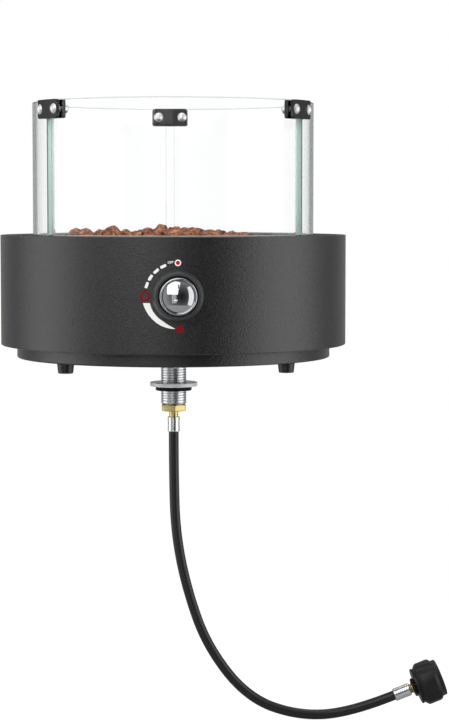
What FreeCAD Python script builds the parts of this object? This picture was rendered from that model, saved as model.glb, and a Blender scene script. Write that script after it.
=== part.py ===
"""Tabletop gas fire pit that is clamped through the umbrella hole of a table.

A steel drum carries a pressed deck with a fire bowl, a disc burner under lava rocks and a
three-panel glass wind guard. A threaded stem under the base tray passes through the table top
and is clamped from below, and the gas hose hangs from its end to a hand nut for the cylinder.

Units are millimetres. The origin is on the stem's axis in the plane of the table top, +Z is up
and the control knob faces -Y. Azimuths are counted from the front (-Y) towards +X.
"""
import FreeCAD
import Part
import Sketcher
import itertools
import math
import os
import random
import re

SIZES = [
    # drum and deck
    ("drum_radius", 190.0), ("drum_height", 120.0), ("drum_wall", 1.5), ("drum_flange", 20.0),
    ("drum_edge_round", 1.2), ("deck_thickness", 1.5), ("ring_leg", 12.0), ("ring_width", 14.0),
    ("sheet_gap", 0.2), ("bowl_opening", 130.0), ("bowl_flange", 13.0), ("bowl_depth", 30.0),
    ("bowl_floor_radius", 118.0), ("bowl_wall", 1.2), ("bowl_round", 5.0),
    # burner and mixing tube
    ("burner_radius", 62.0), ("burner_rim", 4.0), ("burner_base_height", 5.0),
    ("burner_height", 11.0), ("burner_wall", 0.8), ("burner_crown", 46.0), ("neck_radius", 12.2),
    ("neck_length", 9.5), ("port_radius", 1.5), ("port_count", 24), ("tube_radius", 11.0),
    ("tube_wall", 1.0), ("tube_bend", 15.0), ("tube_mouth", 117.0), ("bell_radius", 14.0),
    ("bell_length", 5.0), ("burner_screw_circle", 36.0), ("burner_screw_radius", 2.5),
    # gas valve, from the drum's outside face inwards
    ("knob_drop", 59.6), ("spindle_radius", 4.0), ("spindle_window", 11.0), ("panel_seat", 8.0),
    ("spacer_radius", 22.0), ("flange_thickness", 5.0), ("valve_flange", 20.0),
    ("valve_radius", 14.0), ("valve_length", 37.0), ("spring_chamber", 9.0),
    ("spring_chamber_depth", 15.0), ("plug_radius", 7.6), ("plug_tip_radius", 6.4),
    ("plug_length", 15.6), ("running_gap", 0.08), ("slide_gap", 0.3), ("washer_radius", 8.5),
    ("washer_thickness", 1.2), ("collar_radius", 6.0), ("collar_thickness", 1.5),
    ("spring_radius", 8.3), ("spring_wire", 0.5), ("spring_pitch", 2.6),
    ("plug_web", 2.5), ("spindle_flat", 1.0), ("outlet_radius", 6.0), ("outlet_length", 9.0),
    ("flange_step", 4.0),
    ("inlet_radius", 7.0), ("inlet_reach", 20.0), ("inlet_setback", 36.0), ("jet_radius", 5.0),
    ("jet_tip_radius", 3.0), ("jet_length", 17.0), ("jet_tip_length", 7.0),
    ("panel_screw_pitch", 30.0), ("panel_screw_radius", 2.0), ("panel_screw_head", 3.8),
    ("panel_screw_head_height", 2.15), ("panel_screw_head_bevel", 1.1),
    ("igniter_radius", 6.5), ("igniter_length", 32.0), ("igniter_pin", 1.5), ("push_travel", 4.0),
    # knob
    ("bezel_radius", 26.5), ("bezel_top_radius", 24.2), ("bezel_opening", 20.4),
    ("bezel_height", 7.0), ("bezel_lip", 1.0), ("bezel_bevel", 0.6),
    ("knob_radius", 19.1), ("knob_seat", 8.0), ("knob_side", 8.0),
    ("knob_crown", 5.5), ("knob_wall", 1.2), ("bead_radius", 1.3), ("crown_radius", 16.6),
    ("hub_depth", 7.6), ("mark_width", 1.1), ("mark_start", 8.2), ("mark_length", 5.0),
    ("mark_depth", 0.5),
    # pilot set beside the burner
    ("pilot_radius", 76.0), ("pilot_spacing", 11.0), ("electrode_radius", 3.0),
    ("electrode_height", 18.0), ("electrode_tip_radius", 0.9), ("electrode_tip_length", 6.0),
    ("sensor_radius", 2.6), ("sensor_height", 20.0), ("sensor_tip_radius", 1.9),
    ("pilot_reach_below", 9.0), ("bracket_width", 20.0), ("bracket_depth", 14.0),
    ("bracket_height", 9.0), ("bracket_wall", 1.5),
    # glass wind guard
    ("glass_radius", 154.3), ("glass_wall", 6.0), ("glass_height", 144.4),
    ("glass_gap_angle", 3.4), ("glass_bevel", 0.9), ("clip_height", 20.0),
    ("clip_thickness", 3.0), ("clip_angle", 15.2), ("clip_round", 2.5), ("clip_pad", 0.8),
    ("clip_screw_angle", 5.5), ("clip_screw_radius", 3.0),
    ("clip_head_radius", 5.5), ("clip_head_height", 3.2), ("clip_nut_radius", 5.3),
    ("clip_nut_height", 6.0), ("glass_hole", 4.5), ("sleeve_gap", 0.1),
    # base
    ("foot_height", 10.2), ("foot_top_radius", 9.25), ("foot_bottom_radius", 7.95),
    ("foot_circle", 162.0), ("foot_recess_radius", 4.4), ("foot_recess_depth", 4.0),
    ("foot_screw_radius", 2.0), ("foot_screw_head", 3.8), ("foot_head_height", 2.4),
    ("foot_screw_reach", 7.0), ("foot_nut_width", 7.0), ("foot_nut_height", 3.2),
    ("tray_radius", 172.5), ("tray_height", 14.0), ("tray_wall", 1.5), ("tray_flange", 18.0),
    ("tray_edge_round", 1.4), ("tray_screw_circle", 162.0), ("tray_screw_radius", 2.5),
    ("tray_screw_head", 4.0), ("tray_screw_head_height", 1.4), ("tray_spacer_radius", 5.0),
    ("tray_nut_width", 8.0), ("tray_nut_height", 4.0), ("vent_circle", 118.0),
    ("vent_radius", 6.0), ("vent_count", 12),
    # stem, clamp and gas inlet
    ("stem_radius", 14.0), ("stem_bore", 10.0), ("stem_reach", 43.4), ("stem_top", 22.0),
    ("stem_collar_radius", 19.0), ("stem_collar_height", 3.0), ("stem_chamfer", 1.2),
    ("stem_nut_width", 38.0), ("stem_nut_height", 7.0), ("clamp_drop", 18.8),
    ("clamp_washer_radius", 26.3), ("clamp_washer_height", 4.4), ("clamp_nut_radius", 20.0),
    ("clamp_nut_height", 4.8), ("clamp_nut_bevel", 0.8), ("clamp_nut_notches", 8),
    ("clamp_notch_radius", 1.6), ("clamp_notch_depth", 1.0), ("thread_gap", 0.3),
    ("inlet_hex_width", 26.0), ("inlet_hex_height", 7.5), ("inlet_spigot_height", 14.0),
    ("inlet_neck_radius", 5.0), ("inlet_neck_length", 6.4), ("gas_way", 2.5),
    ("pipe_radius", 4.0), ("pipe_wall", 0.8),
    ("pipe_bend", 14.0), ("pipe_run_level", 48.0), ("pipe_socket", 5.0),
    # hose and cylinder connector
    ("hose_radius", 5.5), ("barb_radius", 3.2), ("ferrule_radius", 6.7), ("ferrule_length", 16.7),
    ("end_ferrule_radius", 7.2), ("end_ferrule_length", 18.7),
    ("ferrule_round", 0.8), ("end_neck_radius", 5.5), ("end_neck_length", 3.6),
    ("neck_groove_depth", 0.7), ("neck_groove_width", 0.9), ("neck_groove_slope", 0.2),
    ("neck_groove_setback", 1.0),
    ("end_hex_width", 19.0), ("end_hex_length", 3.7), ("shank_radius", 6.0),
    ("nut_rear_wall", 5.6), ("nut_end_gap", 0.3), ("probe_flange_radius", 8.0),
    ("probe_flange_length", 2.6), ("probe_radius", 5.6), ("probe_length", 15.0),
    ("probe_nose", 4.0), ("seal_wire", 1.2), ("nut_radius", 24.2), ("nut_length", 30.0),
    ("nut_rear_radius", 20.3), ("nut_core_radius", 21.2), ("nut_rim_radius", 20.8),
    ("lobe_foot", 4.0), ("lobe_start", 6.5), ("lobe_end", 22.3), ("lobe_toe", 25.0),
    ("nut_mouth_chamfer", 1.0),
    ("nut_bore", 16.65), ("nut_groove_radius", 7.0), ("nut_groove_circle", 28.2),
    ("nut_lobes", 4),
]

# azimuths, in degrees from the front towards +X
CLIP_AZIMUTHS = (-60, 60, 180)
FOOT_AZIMUTHS = (-46, 46, 134, 226)
TRAY_SCREW_AZIMUTHS = (0, 90, 180, 270)
BURNER_SCREW_AZIMUTHS = (30, 150, 270)

# the hose's route from the upper ferrule to the lower one, in millimetres
HOSE_ROUTE = [
    (0, 0, -74), (0, 0, -126), (2, 0, -188), (14, -1, -250), (37, -3, -316), (83, -4, -375),
    (142, -4, -396), (201, -1.5, -392), (248, 0, -374),
]

# the rocks: grid spacing, gaps to neighbours and to the bowl's wall, and how far a rock's top may
# lie under the heap's own height, which is given over the deck for places from left to right
ROCK_SPACING = 27.0
ROCK_GAP = 0.4
ROCK_WALL_GAP = 1.5
ROCK_EDGE_ROOM = 6.0
ROCK_TOP_SCATTER = 4.0
ROCK_HEAP = (
    (-130, 5), (-118, 6), (-105, 10), (-92, 6), (-83, 5.5), (-68, 8.5), (-58, 3.5), (-38, 3),
    (-28, 7.5), (-16, 10.5), (-5, 9.5), (5, 7.5), (20, 7), (42, 4.5), (55, 4.5), (72, 3),
    (95, -1), (130, -3),
)
ROCK_SEED = 11
# a rock's rings of corners: shares of its height and of its width, and the counts of corners
ROCK_LEVEL_SHARES = ((0.02, 0.6), (0.33, 1.0), (0.66, 0.92), (0.88, 0.5))
ROCK_CORNER_COUNTS = (4, 6, 6, 4)
PILOT_ROOM = 15.0

# turns of the two hexagons and the nut's lobes about their axes, in degrees
INLET_HEX_TURN = 31.0
END_HEX_TURN = 0.0
NUT_LOBE_TURN = 37.0

# heights over the table top, as expressions on the sheet
TRAY_FLOOR = "foot_height + tray_wall"
DRUM_BASE = "(foot_height + tray_height)"
DECK = "(foot_height + tray_height + drum_height)"
DECK_UNDERSIDE = f"({DECK} - deck_thickness)"
BOWL_FLOOR = f"({DECK_UNDERSIDE} - bowl_depth)"
KNOB_LEVEL = f"({DECK} - knob_drop)"
CLIP_LEVEL = f"({DECK} + glass_height - clip_height / 2)"
STEM_END = "(-stem_reach)"
PANEL_SEAT = "(-panel_seat)"
BONNET_REAR = "(-panel_seat - flange_thickness)"
VALVE_REAR = f"({BONNET_REAR} - valve_length)"
CHAMBER_FLOOR = f"({BONNET_REAR} - spring_chamber_depth)"
PLUG_END = f"({CHAMBER_FLOOR} - plug_length)"
COLLAR_REAR = f"({BONNET_REAR} - slide_gap - collar_thickness)"
WASHER_REAR = f"({COLLAR_REAR} - running_gap - washer_thickness)"
GLASS_INNER = "(glass_radius - glass_wall)"
NUT_START = "(end_ferrule_length + end_neck_length + end_hex_length + nut_end_gap)"

# turns that bring a cylinder's own Z axis to another direction
ALONG_MINUS_Y = FreeCAD.Rotation(FreeCAD.Vector(1, 0, 0), 90)
ALONG_X = FreeCAD.Rotation(FreeCAD.Vector(0, 1, 0), 90)

doc = FreeCAD.newDocument("fire_pit")
sheet = doc.addObject("Spreadsheet::Sheet", "Sizes")
nodes = []


def fill_sheet():
    """Write each driving dimension in a row of its own and name its cell."""
    for row, (alias, size) in enumerate(SIZES, start=1):
        sheet.set(f"A{row}", alias)
        sheet.set(f"B{row}", str(size))
        sheet.setAlias(f"B{row}", alias)
    doc.recompute()


def cells(text):
    """Return an expression with each size's name written as its cell of the sheet."""
    return re.sub(r"[a-z]+(_[a-z]+)+", lambda found: "Sizes." + found.group(0), str(text))


def value(text):
    """Return an expression's value as a plain number."""
    return float(sheet.evalExpression(cells(text)))


def keep(piece, label):
    """Name a finished sub-part and put it on the list of nodes."""
    piece.Label = label
    nodes.append(piece)
    return piece


# ---------------------------------------------------------------- bodies, outlines, features

def new_body(name, place=("0", "0", "0"), axis=(0, 0, 1), turn="0"):
    """Start a body whose place and turn are bound to the sheet."""
    body = doc.addObject("PartDesign::Body", name)
    body.Label = name + "_body"
    rotation = FreeCAD.Rotation(FreeCAD.Vector(*axis), value(turn))
    body.Placement = FreeCAD.Placement(FreeCAD.Vector(*[value(part) for part in place]), rotation)
    for letter, part in zip("xyz", place):
        body.setExpression(f"Placement.Base.{letter}", cells(part))
    body.setExpression("Placement.Rotation.Angle", cells(turn))
    return body


def plane_of(body, role):
    """Return one of the body's own origin planes or axes."""
    return next(part for part in body.Origin.OriginFeatures if part.Role == role)


def new_sketch(body, role):
    """Start a sketch on one of the body's origin planes."""
    sketch = body.newObject("Sketcher::SketchObject", "Outline")
    sketch.AttachmentSupport = [(plane_of(body, role), "")]
    sketch.MapMode = "FlatFace"
    return sketch


def bind(sketch, kind, *where_and_text):
    """Add one dimension to a sketch and bind it to the sheet."""
    *where, text = where_and_text
    index = sketch.addConstraint(Sketcher.Constraint(kind, *where, value(text)))
    sketch.setExpression(f"Constraints[{index}]", cells(text))


def left_arc(start, middle, end):
    """Return the arc through three points, from the end that makes it turn left."""
    turns_left = (middle - start).cross(end - middle).z > 0
    return Part.Arc(start, middle, end) if turns_left else Part.Arc(end, middle, start)


def arc_between(start, end, radius):
    """Return the short arc from start to end; a negative radius bulges to the left."""
    chord = end - start
    middle = (start + end) * 0.5
    left = FreeCAD.Vector(-chord.y, chord.x, 0).normalize()
    rise = abs(radius) - math.sqrt(max(radius ** 2 - (chord.Length / 2) ** 2, 0))
    side = left if radius < 0 else -left
    return left_arc(start, middle + side * rise, end)


def outline(body, role, corners):
    """Draw a closed outline with each corner bound to the sheet.

    A corner is (x, y), or (x, y, radius) where an arc of that radius leads on to the next one.
    """
    sketch = new_sketch(body, role)
    places = [FreeCAD.Vector(value(corner[0]), value(corner[1]), 0) for corner in corners]
    starts = []
    ends = []
    for index, corner in enumerate(corners):
        start = places[index]
        end = places[(index + 1) % len(places)]
        if len(corner) == 3:
            arc = arc_between(start, end, value(corner[2]))
            sketch.addGeometry(arc)
            forward = sketch.Geometry[index].StartPoint.isEqual(start, 1e-6)
            starts.append(1 if forward else 2)
            ends.append(2 if forward else 1)
        else:
            sketch.addGeometry(Part.LineSegment(start, end))
            starts.append(1)
            ends.append(2)
    for index, corner in enumerate(corners):
        before = index - 1 if index else len(corners) - 1
        sketch.addConstraint(
            Sketcher.Constraint("Coincident", before, ends[before], index, starts[index]))
        bind(sketch, "DistanceX", index, starts[index], corner[0])
        bind(sketch, "DistanceY", index, starts[index], corner[1])
        if len(corner) == 3:
            bind(sketch, "Radius", index, f"abs({corner[2]})")
    return sketch


def circles(body, role, rounds):
    """Draw circles, each (x, y, radius), bound to the sheet."""
    sketch = new_sketch(body, role)
    for index, (x, y, radius) in enumerate(rounds):
        centre = FreeCAD.Vector(value(x), value(y), 0)
        sketch.addGeometry(Part.Circle(centre, FreeCAD.Vector(0, 0, 1), value(radius)))
        bind(sketch, "DistanceX", index, 3, x)
        bind(sketch, "DistanceY", index, 3, y)
        bind(sketch, "Radius", index, radius)
    return sketch


def revolve(body, corners, about="V_Axis", angle="360"):
    """Turn an outline in the body's XZ plane about its vertical or horizontal axis."""
    turned = body.newObject("PartDesign::Revolution", "Turned")
    turned.Profile = outline(body, "XZ_Plane", corners)
    turned.ReferenceAxis = (turned.Profile[0], [about])
    turned.Midplane = True
    turned.setExpression("Angle", cells(angle))
    return turned


def pad(body, sketch, length, start="0"):
    """Raise a sketch along its normal by a length, from a height along the same normal."""
    raised = body.newObject("PartDesign::Pad", "Raised")
    sketch.setExpression("AttachmentOffset.Base.z", cells(start))
    raised.Profile = sketch
    raised.setExpression("Length", cells(length))
    return raised


def cut_through(body, sketch):
    """Cut a sketch through the whole body, both ways from its plane."""
    hole = body.newObject("PartDesign::Pocket", "Opening")
    hole.Profile = sketch
    hole.Type = "ThroughAll"
    hole.Midplane = True
    return hole


def rod(body, kind, radius, length, place, rotation=FreeCAD.Rotation()):
    """Add or take away a cylinder whose length runs along its own turned Z axis."""
    cylinder = body.newObject(f"PartDesign::{kind}Cylinder", "Rod")
    start = FreeCAD.Vector(*[value(part) for part in place])
    cylinder.Placement = FreeCAD.Placement(start, rotation)
    for letter, part in zip("xyz", place):
        cylinder.setExpression(f"Placement.Base.{letter}", cells(part))
    cylinder.setExpression("Radius", cells(radius))
    cylinder.setExpression("Height", cells(length))
    return cylinder


def drill(body, radius, length, place, rotation=FreeCAD.Rotation()):
    """Take a cylinder out of a body."""
    return rod(body, "Subtractive", radius, length, place, rotation)


def repeat(body, feature, count):
    """Repeat a feature evenly round the body's vertical axis."""
    pattern = body.newObject("PartDesign::PolarPattern", "Ring")
    pattern.Originals = [feature]
    pattern.Axis = (plane_of(body, "Z_Axis"), [""])
    pattern.Angle = 360
    pattern.setExpression("Occurrences", cells(count))
    body.Tip = pattern
    return pattern


def ring_edges(shape, wanted):
    """Name the circular edges about the vertical axis at the given (radius, height) pairs."""
    names = []
    for index, edge in enumerate(shape.Edges, start=1):
        if not isinstance(edge.Curve, Part.Circle):
            continue
        for radius, height in wanted:
            near = abs(edge.Curve.Radius - radius) < 1e-3
            if near and abs(edge.Curve.Center.z - height) < 1e-3:
                names.append(f"Edge{index}")
    return names


def round_rings(body, size, rings, kind="PartDesign::Fillet"):
    """Round or bevel circular edges, each given by its radius and height."""
    doc.recompute()
    base = body.Tip
    edges = ring_edges(base.Shape, [(value(radius), value(height)) for radius, height in rings])
    rounded = body.newObject(kind, "Softened")
    rounded.Base = (base, edges)
    rounded.setExpression("Radius" if kind.endswith("Fillet") else "Size", cells(size))
    return rounded


def hexagon(width, turn_degrees=0.0):
    """Return the corners of a hexagon of a given width across its flats."""
    corners = []
    for step in range(6):
        angle = math.radians(turn_degrees + 60 * step)
        reach = f"{width} / 1.7320508 * "
        corners.append((f"{reach}{math.cos(angle):.9f}", f"{reach}{math.sin(angle):.9f}"))
    return corners


def group(label, bodies):
    """Join equal pieces in one node, each still a solid of its own."""
    compound = doc.addObject("Part::Compound", label)
    compound.Links = bodies
    return keep(compound, label)


def on_circle(radius, azimuth):
    """Return the x and y expressions of a place on a circle at an azimuth."""
    angle = math.radians(azimuth)
    return f"{radius} * {math.sin(angle):.9f}", f"-{radius} * {math.cos(angle):.9f}"


# ---------------------------------------------------------------- drum, deck and bowl

def drum_shell():
    """Rolled drum wall with an inward flange at its foot and the knob's window."""
    body = new_body("drum_shell", ("0", "0", DRUM_BASE))
    inner = "drum_radius - drum_wall"
    revolve(body, [
        ("drum_radius", "0"), ("drum_radius", "drum_height"), (inner, "drum_height"),
        (inner, "drum_wall"), ("tray_radius - drum_flange", "drum_wall"),
        ("tray_radius - drum_flange", "0"),
    ])
    round_rings(body, "drum_edge_round", [("drum_radius", "0")])
    window_level = "drum_height - knob_drop"
    holes = [("0", "spindle_window"), ("panel_screw_pitch / 2", "panel_screw_radius + running_gap"),
             ("-panel_screw_pitch / 2", "panel_screw_radius + running_gap")]
    for across, radius in holes:
        drill(body, radius, "drum_radius * 1.1", (across, "0", window_level), ALONG_MINUS_Y)
    screw = drill(body, "tray_screw_radius + running_gap", "drum_height / 2",
                  ("tray_screw_circle", "0", "-drum_height / 4"))
    repeat(body, screw, str(len(TRAY_SCREW_AZIMUTHS)))
    return keep(body, "drum_shell")


def support_ring():
    """Angle ring welded inside the drum's top edge, which carries the deck."""
    body = new_body("support_ring", ("0", "0", DECK_UNDERSIDE))
    outer = "drum_radius - drum_wall - sheet_gap"
    inner = f"{outer} - ring_width"
    revolve(body, [
        (outer, "0"), (inner, "0"), (inner, "-drum_wall"), (f"{outer} - drum_wall", "-drum_wall"),
        (f"{outer} - drum_wall", "-ring_leg"), (outer, "-ring_leg"),
    ])
    return keep(body, "support_ring")


def deck_plate():
    """Flat ring that closes the drum's top round the fire bowl."""
    body = new_body("deck_plate", ("0", "0", DECK_UNDERSIDE))
    outer = "drum_radius - drum_wall - sheet_gap"
    revolve(body, [
        (outer, "0"), (outer, "deck_thickness"), ("bowl_opening", "deck_thickness"),
        ("bowl_opening", "0"),
    ])
    round_rings(body, "deck_thickness / 3", [("bowl_opening", "deck_thickness")])
    return keep(body, "deck_plate")


def fire_bowl():
    """Pressed bowl that hangs under the deck and holds the burner and the rocks."""
    body = new_body("fire_bowl", ("0", "0", DECK_UNDERSIDE))
    neck_hole = "neck_radius + sheet_gap"
    revolve(body, [
        ("bowl_opening + bowl_flange", "0"), ("bowl_opening", "0"),
        ("bowl_floor_radius", "-bowl_depth"), (neck_hole, "-bowl_depth"),
        (neck_hole, "-bowl_depth - bowl_wall"),
        ("bowl_floor_radius + bowl_wall", "-bowl_depth - bowl_wall"),
        ("bowl_opening + bowl_wall", "-bowl_wall"), ("bowl_opening + bowl_flange", "-bowl_wall"),
    ])
    round_rings(body, "bowl_round", [("bowl_floor_radius", "-bowl_depth")])
    for azimuth in BURNER_SCREW_AZIMUTHS:
        across, along = on_circle("burner_screw_circle", azimuth)
        drill(body, "burner_screw_radius + running_gap", "bowl_depth",
              (across, along, "-bowl_depth * 1.5"))
    for side in ("", "-"):
        drill(body, "electrode_radius + sheet_gap", "bowl_depth",
              ("pilot_radius", f"{side}pilot_spacing / 2", "-bowl_depth * 1.5"))
    return keep(body, "fire_bowl")


# ---------------------------------------------------------------- burner and pilot

def burner_base():
    """Lower dish of the disc burner with the neck that the mixing tube enters."""
    body = new_body("burner_base", ("0", "0", BOWL_FLOOR))
    rim = "burner_radius + burner_rim"
    revolve(body, [
        ("neck_radius", "-neck_length"), ("neck_radius", "0"), ("burner_radius - burner_rim", "0"),
        ("burner_radius + burner_wall", "burner_base_height - burner_wall"),
        (rim, "burner_base_height - burner_wall"), (rim, "burner_base_height"),
        ("burner_radius", "burner_base_height"), ("burner_radius - burner_rim", "burner_wall"),
        ("neck_radius - burner_wall", "burner_wall"), ("neck_radius - burner_wall", "-neck_length"),
    ])
    for azimuth in BURNER_SCREW_AZIMUTHS:
        across, along = on_circle("burner_screw_circle", azimuth)
        drill(body, "burner_screw_radius + running_gap", "burner_base_height",
              (across, along, "-burner_base_height / 2"))
    return keep(body, "burner_base")


def burner_cap():
    """Upper dish of the disc burner with a ring of flame ports in its slope."""
    body = new_body("burner_cap", ("0", "0", f"{BOWL_FLOOR} + burner_base_height"))
    rise = "(burner_height - burner_base_height)"
    rim = "burner_radius + burner_rim"
    revolve(body, [
        ("0", rise), ("burner_crown", rise), ("burner_radius", "burner_wall"),
        (rim, "burner_wall"), (rim, "0"), ("burner_radius - burner_wall", "0"),
        ("burner_crown - burner_wall", f"{rise} - burner_wall"), ("0", f"{rise} - burner_wall"),
    ])
    port = drill(body, "port_radius", "burner_height * 2",
                 ("(burner_crown + burner_radius) / 2", "0", "-burner_height"))
    repeat(body, port, "port_count")
    return keep(body, "burner_cap")


def burner_screws():
    """Three bolts that hold the burner on the bowl's floor."""
    bodies = []
    for azimuth in BURNER_SCREW_AZIMUTHS:
        across, along = on_circle("burner_screw_circle", azimuth)
        body = new_body("burner_screw", (across, along, f"{BOWL_FLOOR} - bowl_wall"))
        shank_top = "bowl_wall + burner_base_height - burner_wall"
        revolve(body, [
            ("0", "-burner_screw_radius"), ("burner_screw_radius * 1.6", "-burner_screw_radius"),
            ("burner_screw_radius * 1.6", "0"), ("burner_screw_radius", "0"),
            ("burner_screw_radius", shank_top), ("0", shank_top),
        ])
        bodies.append(body)
    return group("burner_screws", bodies)


def venturi_tube():
    """Mixing tube from its bell mouth behind the jet to the burner's neck."""
    body = new_body("venturi_tube", ("0", "0", KNOB_LEVEL))
    top = f"{BOWL_FLOOR} - {KNOB_LEVEL} - burner_wall"
    for kind, radius in (("Additive", "tube_radius"), ("Subtractive", "tube_radius - tube_wall")):
        path = new_sketch(body, "YZ_Plane")
        mouth = FreeCAD.Vector(-value("tube_mouth"), 0, 0)
        turn_in = FreeCAD.Vector(-value("tube_bend"), 0, 0)
        turn_out = FreeCAD.Vector(0, value("tube_bend"), 0)
        inside = value("tube_bend") * (1 - math.sqrt(0.5))
        knee = FreeCAD.Vector(-inside, inside, 0)
        path.addGeometry(Part.LineSegment(mouth, turn_in))
        path.addGeometry(left_arc(turn_in, knee, turn_out))
        path.addGeometry(Part.LineSegment(turn_out, FreeCAD.Vector(0, value(top), 0)))
        lock_bent_path(path, "-tube_mouth", "tube_bend", top)
        section = circles(body, "XZ_Plane", [("0", "0", radius)])
        section.setExpression("AttachmentOffset.Base.z", cells("tube_mouth"))
        pipe = body.newObject(f"PartDesign::{kind}Pipe", "Swept")
        pipe.Profile = section
        pipe.Spine = path
    bell = circles(body, "XZ_Plane", [("0", "0", "bell_radius"), ("0", "0", "tube_radius")])
    pad(body, bell, "bell_length", "tube_mouth - bell_length")
    return keep(body, "venturi_tube")


def lock_bent_path(path, start, bend, top):
    """Bind a path of a run along -Y, a quarter bend and a run upwards to the sheet."""
    arc_start = 1 if path.Geometry[1].StartPoint.isEqual(path.Geometry[0].EndPoint, 1e-6) else 2
    path.addConstraint(Sketcher.Constraint("Coincident", 0, 2, 1, arc_start))
    path.addConstraint(Sketcher.Constraint("Coincident", 1, 3 - arc_start, 2, 1))
    bind(path, "DistanceX", 0, 1, start)
    bind(path, "DistanceY", 0, 1, "0")
    bind(path, "DistanceX", 0, 2, f"-{bend}")
    bind(path, "DistanceY", 0, 2, "0")
    bind(path, "DistanceX", 2, 1, "0")
    bind(path, "DistanceY", 2, 1, bend)
    bind(path, "DistanceX", 2, 2, "0")
    bind(path, "DistanceY", 2, 2, top)
    bind(path, "Radius", 1, bend)


def pilot_bracket():
    """Bent bracket on the bowl's floor that holds the electrode and the flame sensor."""
    body = new_body("pilot_bracket", ("pilot_radius", "0", BOWL_FLOOR))
    half = "bracket_depth / 2"
    pad(body, outline(body, "XZ_Plane", [
        (f"-{half}", "bracket_height"), (f"-{half}", "bracket_height - bracket_wall"),
        (f"{half} - bracket_wall", "bracket_height - bracket_wall"),
        (f"{half} - bracket_wall", "bracket_wall"), (f"{half} - bracket_wall", "0"),
        (f"{half} + bracket_depth / 2", "0"), (f"{half} + bracket_depth / 2", "bracket_wall"),
        (half, "bracket_wall"), (half, "bracket_height"),
    ]), "bracket_width", "-bracket_width / 2")
    for side in ("", "-"):
        drill(body, "electrode_radius + running_gap", "bracket_height",
              ("0", f"{side}pilot_spacing / 2", "bracket_height / 2"))
    return keep(body, "pilot_bracket")


def igniter_electrode():
    """Ceramic insulator with the spark wire at its top."""
    body = new_body("igniter_electrode", ("pilot_radius", "-pilot_spacing / 2", BOWL_FLOOR))
    tip = "electrode_height + electrode_tip_length"
    revolve(body, [
        ("0", "-pilot_reach_below"), ("electrode_radius", "-pilot_reach_below"),
        ("electrode_radius", "electrode_height - 1"), ("electrode_radius - 1", "electrode_height"),
        ("electrode_tip_radius", "electrode_height"), ("electrode_tip_radius", tip), ("0", tip),
    ])
    return keep(body, "igniter_electrode")


def thermocouple():
    """Sheathed flame sensor whose warm tip keeps the gas valve open."""
    body = new_body("thermocouple", ("pilot_radius", "pilot_spacing / 2", BOWL_FLOOR))
    shoulder = "sensor_height - electrode_tip_length"
    revolve(body, [
        ("0", "-pilot_reach_below"), ("electrode_radius", "-pilot_reach_below"),
        ("electrode_radius", "bracket_height + bracket_wall"),
        ("sensor_radius", "bracket_height + bracket_wall * 2"), ("sensor_radius", shoulder),
        ("sensor_tip_radius", "sensor_height - 1"), ("0", "sensor_height"),
    ])
    return keep(body, "thermocouple")


# ---------------------------------------------------------------- lava rocks

def rock_sites():
    """Return each rock's place, seat height and top height over the bowl's opening."""
    maker = random.Random(ROCK_SEED)
    reach = value("bowl_floor_radius") - ROCK_EDGE_ROOM
    pilot = FreeCAD.Vector(value("pilot_radius"), 0, 0)
    floor = value(BOWL_FLOOR)
    crown = floor + value("burner_height")
    rim = value("burner_radius + burner_rim")
    rows = int(reach / ROCK_SPACING) + 1
    sites = []
    for row in range(-rows, rows + 1):
        for column in range(-rows, rows + 1):
            across = (column + (row % 2) / 2) * ROCK_SPACING + maker.uniform(-2.5, 2.5)
            along = row * ROCK_SPACING * math.sqrt(0.75) + maker.uniform(-2.5, 2.5)
            place = FreeCAD.Vector(across, along, 0)
            top = value(DECK) + heap_height(across) - maker.uniform(0, ROCK_TOP_SCATTER)
            clear_of_pilot = (place - pilot).Length > PILOT_ROOM + ROCK_SPACING / 3
            if place.Length < reach and clear_of_pilot:
                seat = crown if place.Length < rim + ROCK_SPACING / 2 else floor
                sites.append((place, seat, top))
    return sites


def heap_height(across):
    """Return the height of the heap of rocks over the deck, at a place from left to right."""
    for (left, left_height), (right, right_height) in zip(ROCK_HEAP, ROCK_HEAP[1:]):
        if left <= across <= right:
            share = (across - left) / (right - left)
            return left_height + share * (right_height - left_height)
    return ROCK_HEAP[0][1]


def wall_reach(place, ray, height):
    """Return how far a level ray runs before the bowl's sloping wall, at a height in the bowl."""
    slope = value("(bowl_opening - bowl_floor_radius) / bowl_depth")
    wall = value("bowl_floor_radius") + min(height, value("bowl_depth")) * slope - ROCK_WALL_GAP
    side = place.dot(ray)
    return math.sqrt(side ** 2 + wall ** 2 - place.Length ** 2) - side


def rock_points(index, sites, maker):
    """Return the corners of one rock, inside its own cell between its neighbours."""
    place, seat, top = sites[index]
    height = top - seat
    points = [FreeCAD.Vector(place.x, place.y, top), FreeCAD.Vector(place.x, place.y, seat)]
    for (share, width), count in zip(ROCK_LEVEL_SHARES, ROCK_CORNER_COUNTS):
        start = maker.uniform(0, 360 / count)
        for step in range(count):
            angle = math.radians(start + step * 360 / count)
            ray = FreeCAD.Vector(math.cos(angle), math.sin(angle), 0)
            reach = min(ROCK_SPACING * maker.uniform(0.5, 0.62), cell_reach(index, sites, ray))
            level = seat + height * (share + maker.uniform(0, 0.06))
            room = wall_reach(place, ray, level - value(BOWL_FLOOR))
            point = place + ray * min(reach * width, room)
            points.append(FreeCAD.Vector(point.x, point.y, level))
    return points + touching_points(index, sites, seat + height / 2)


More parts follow.
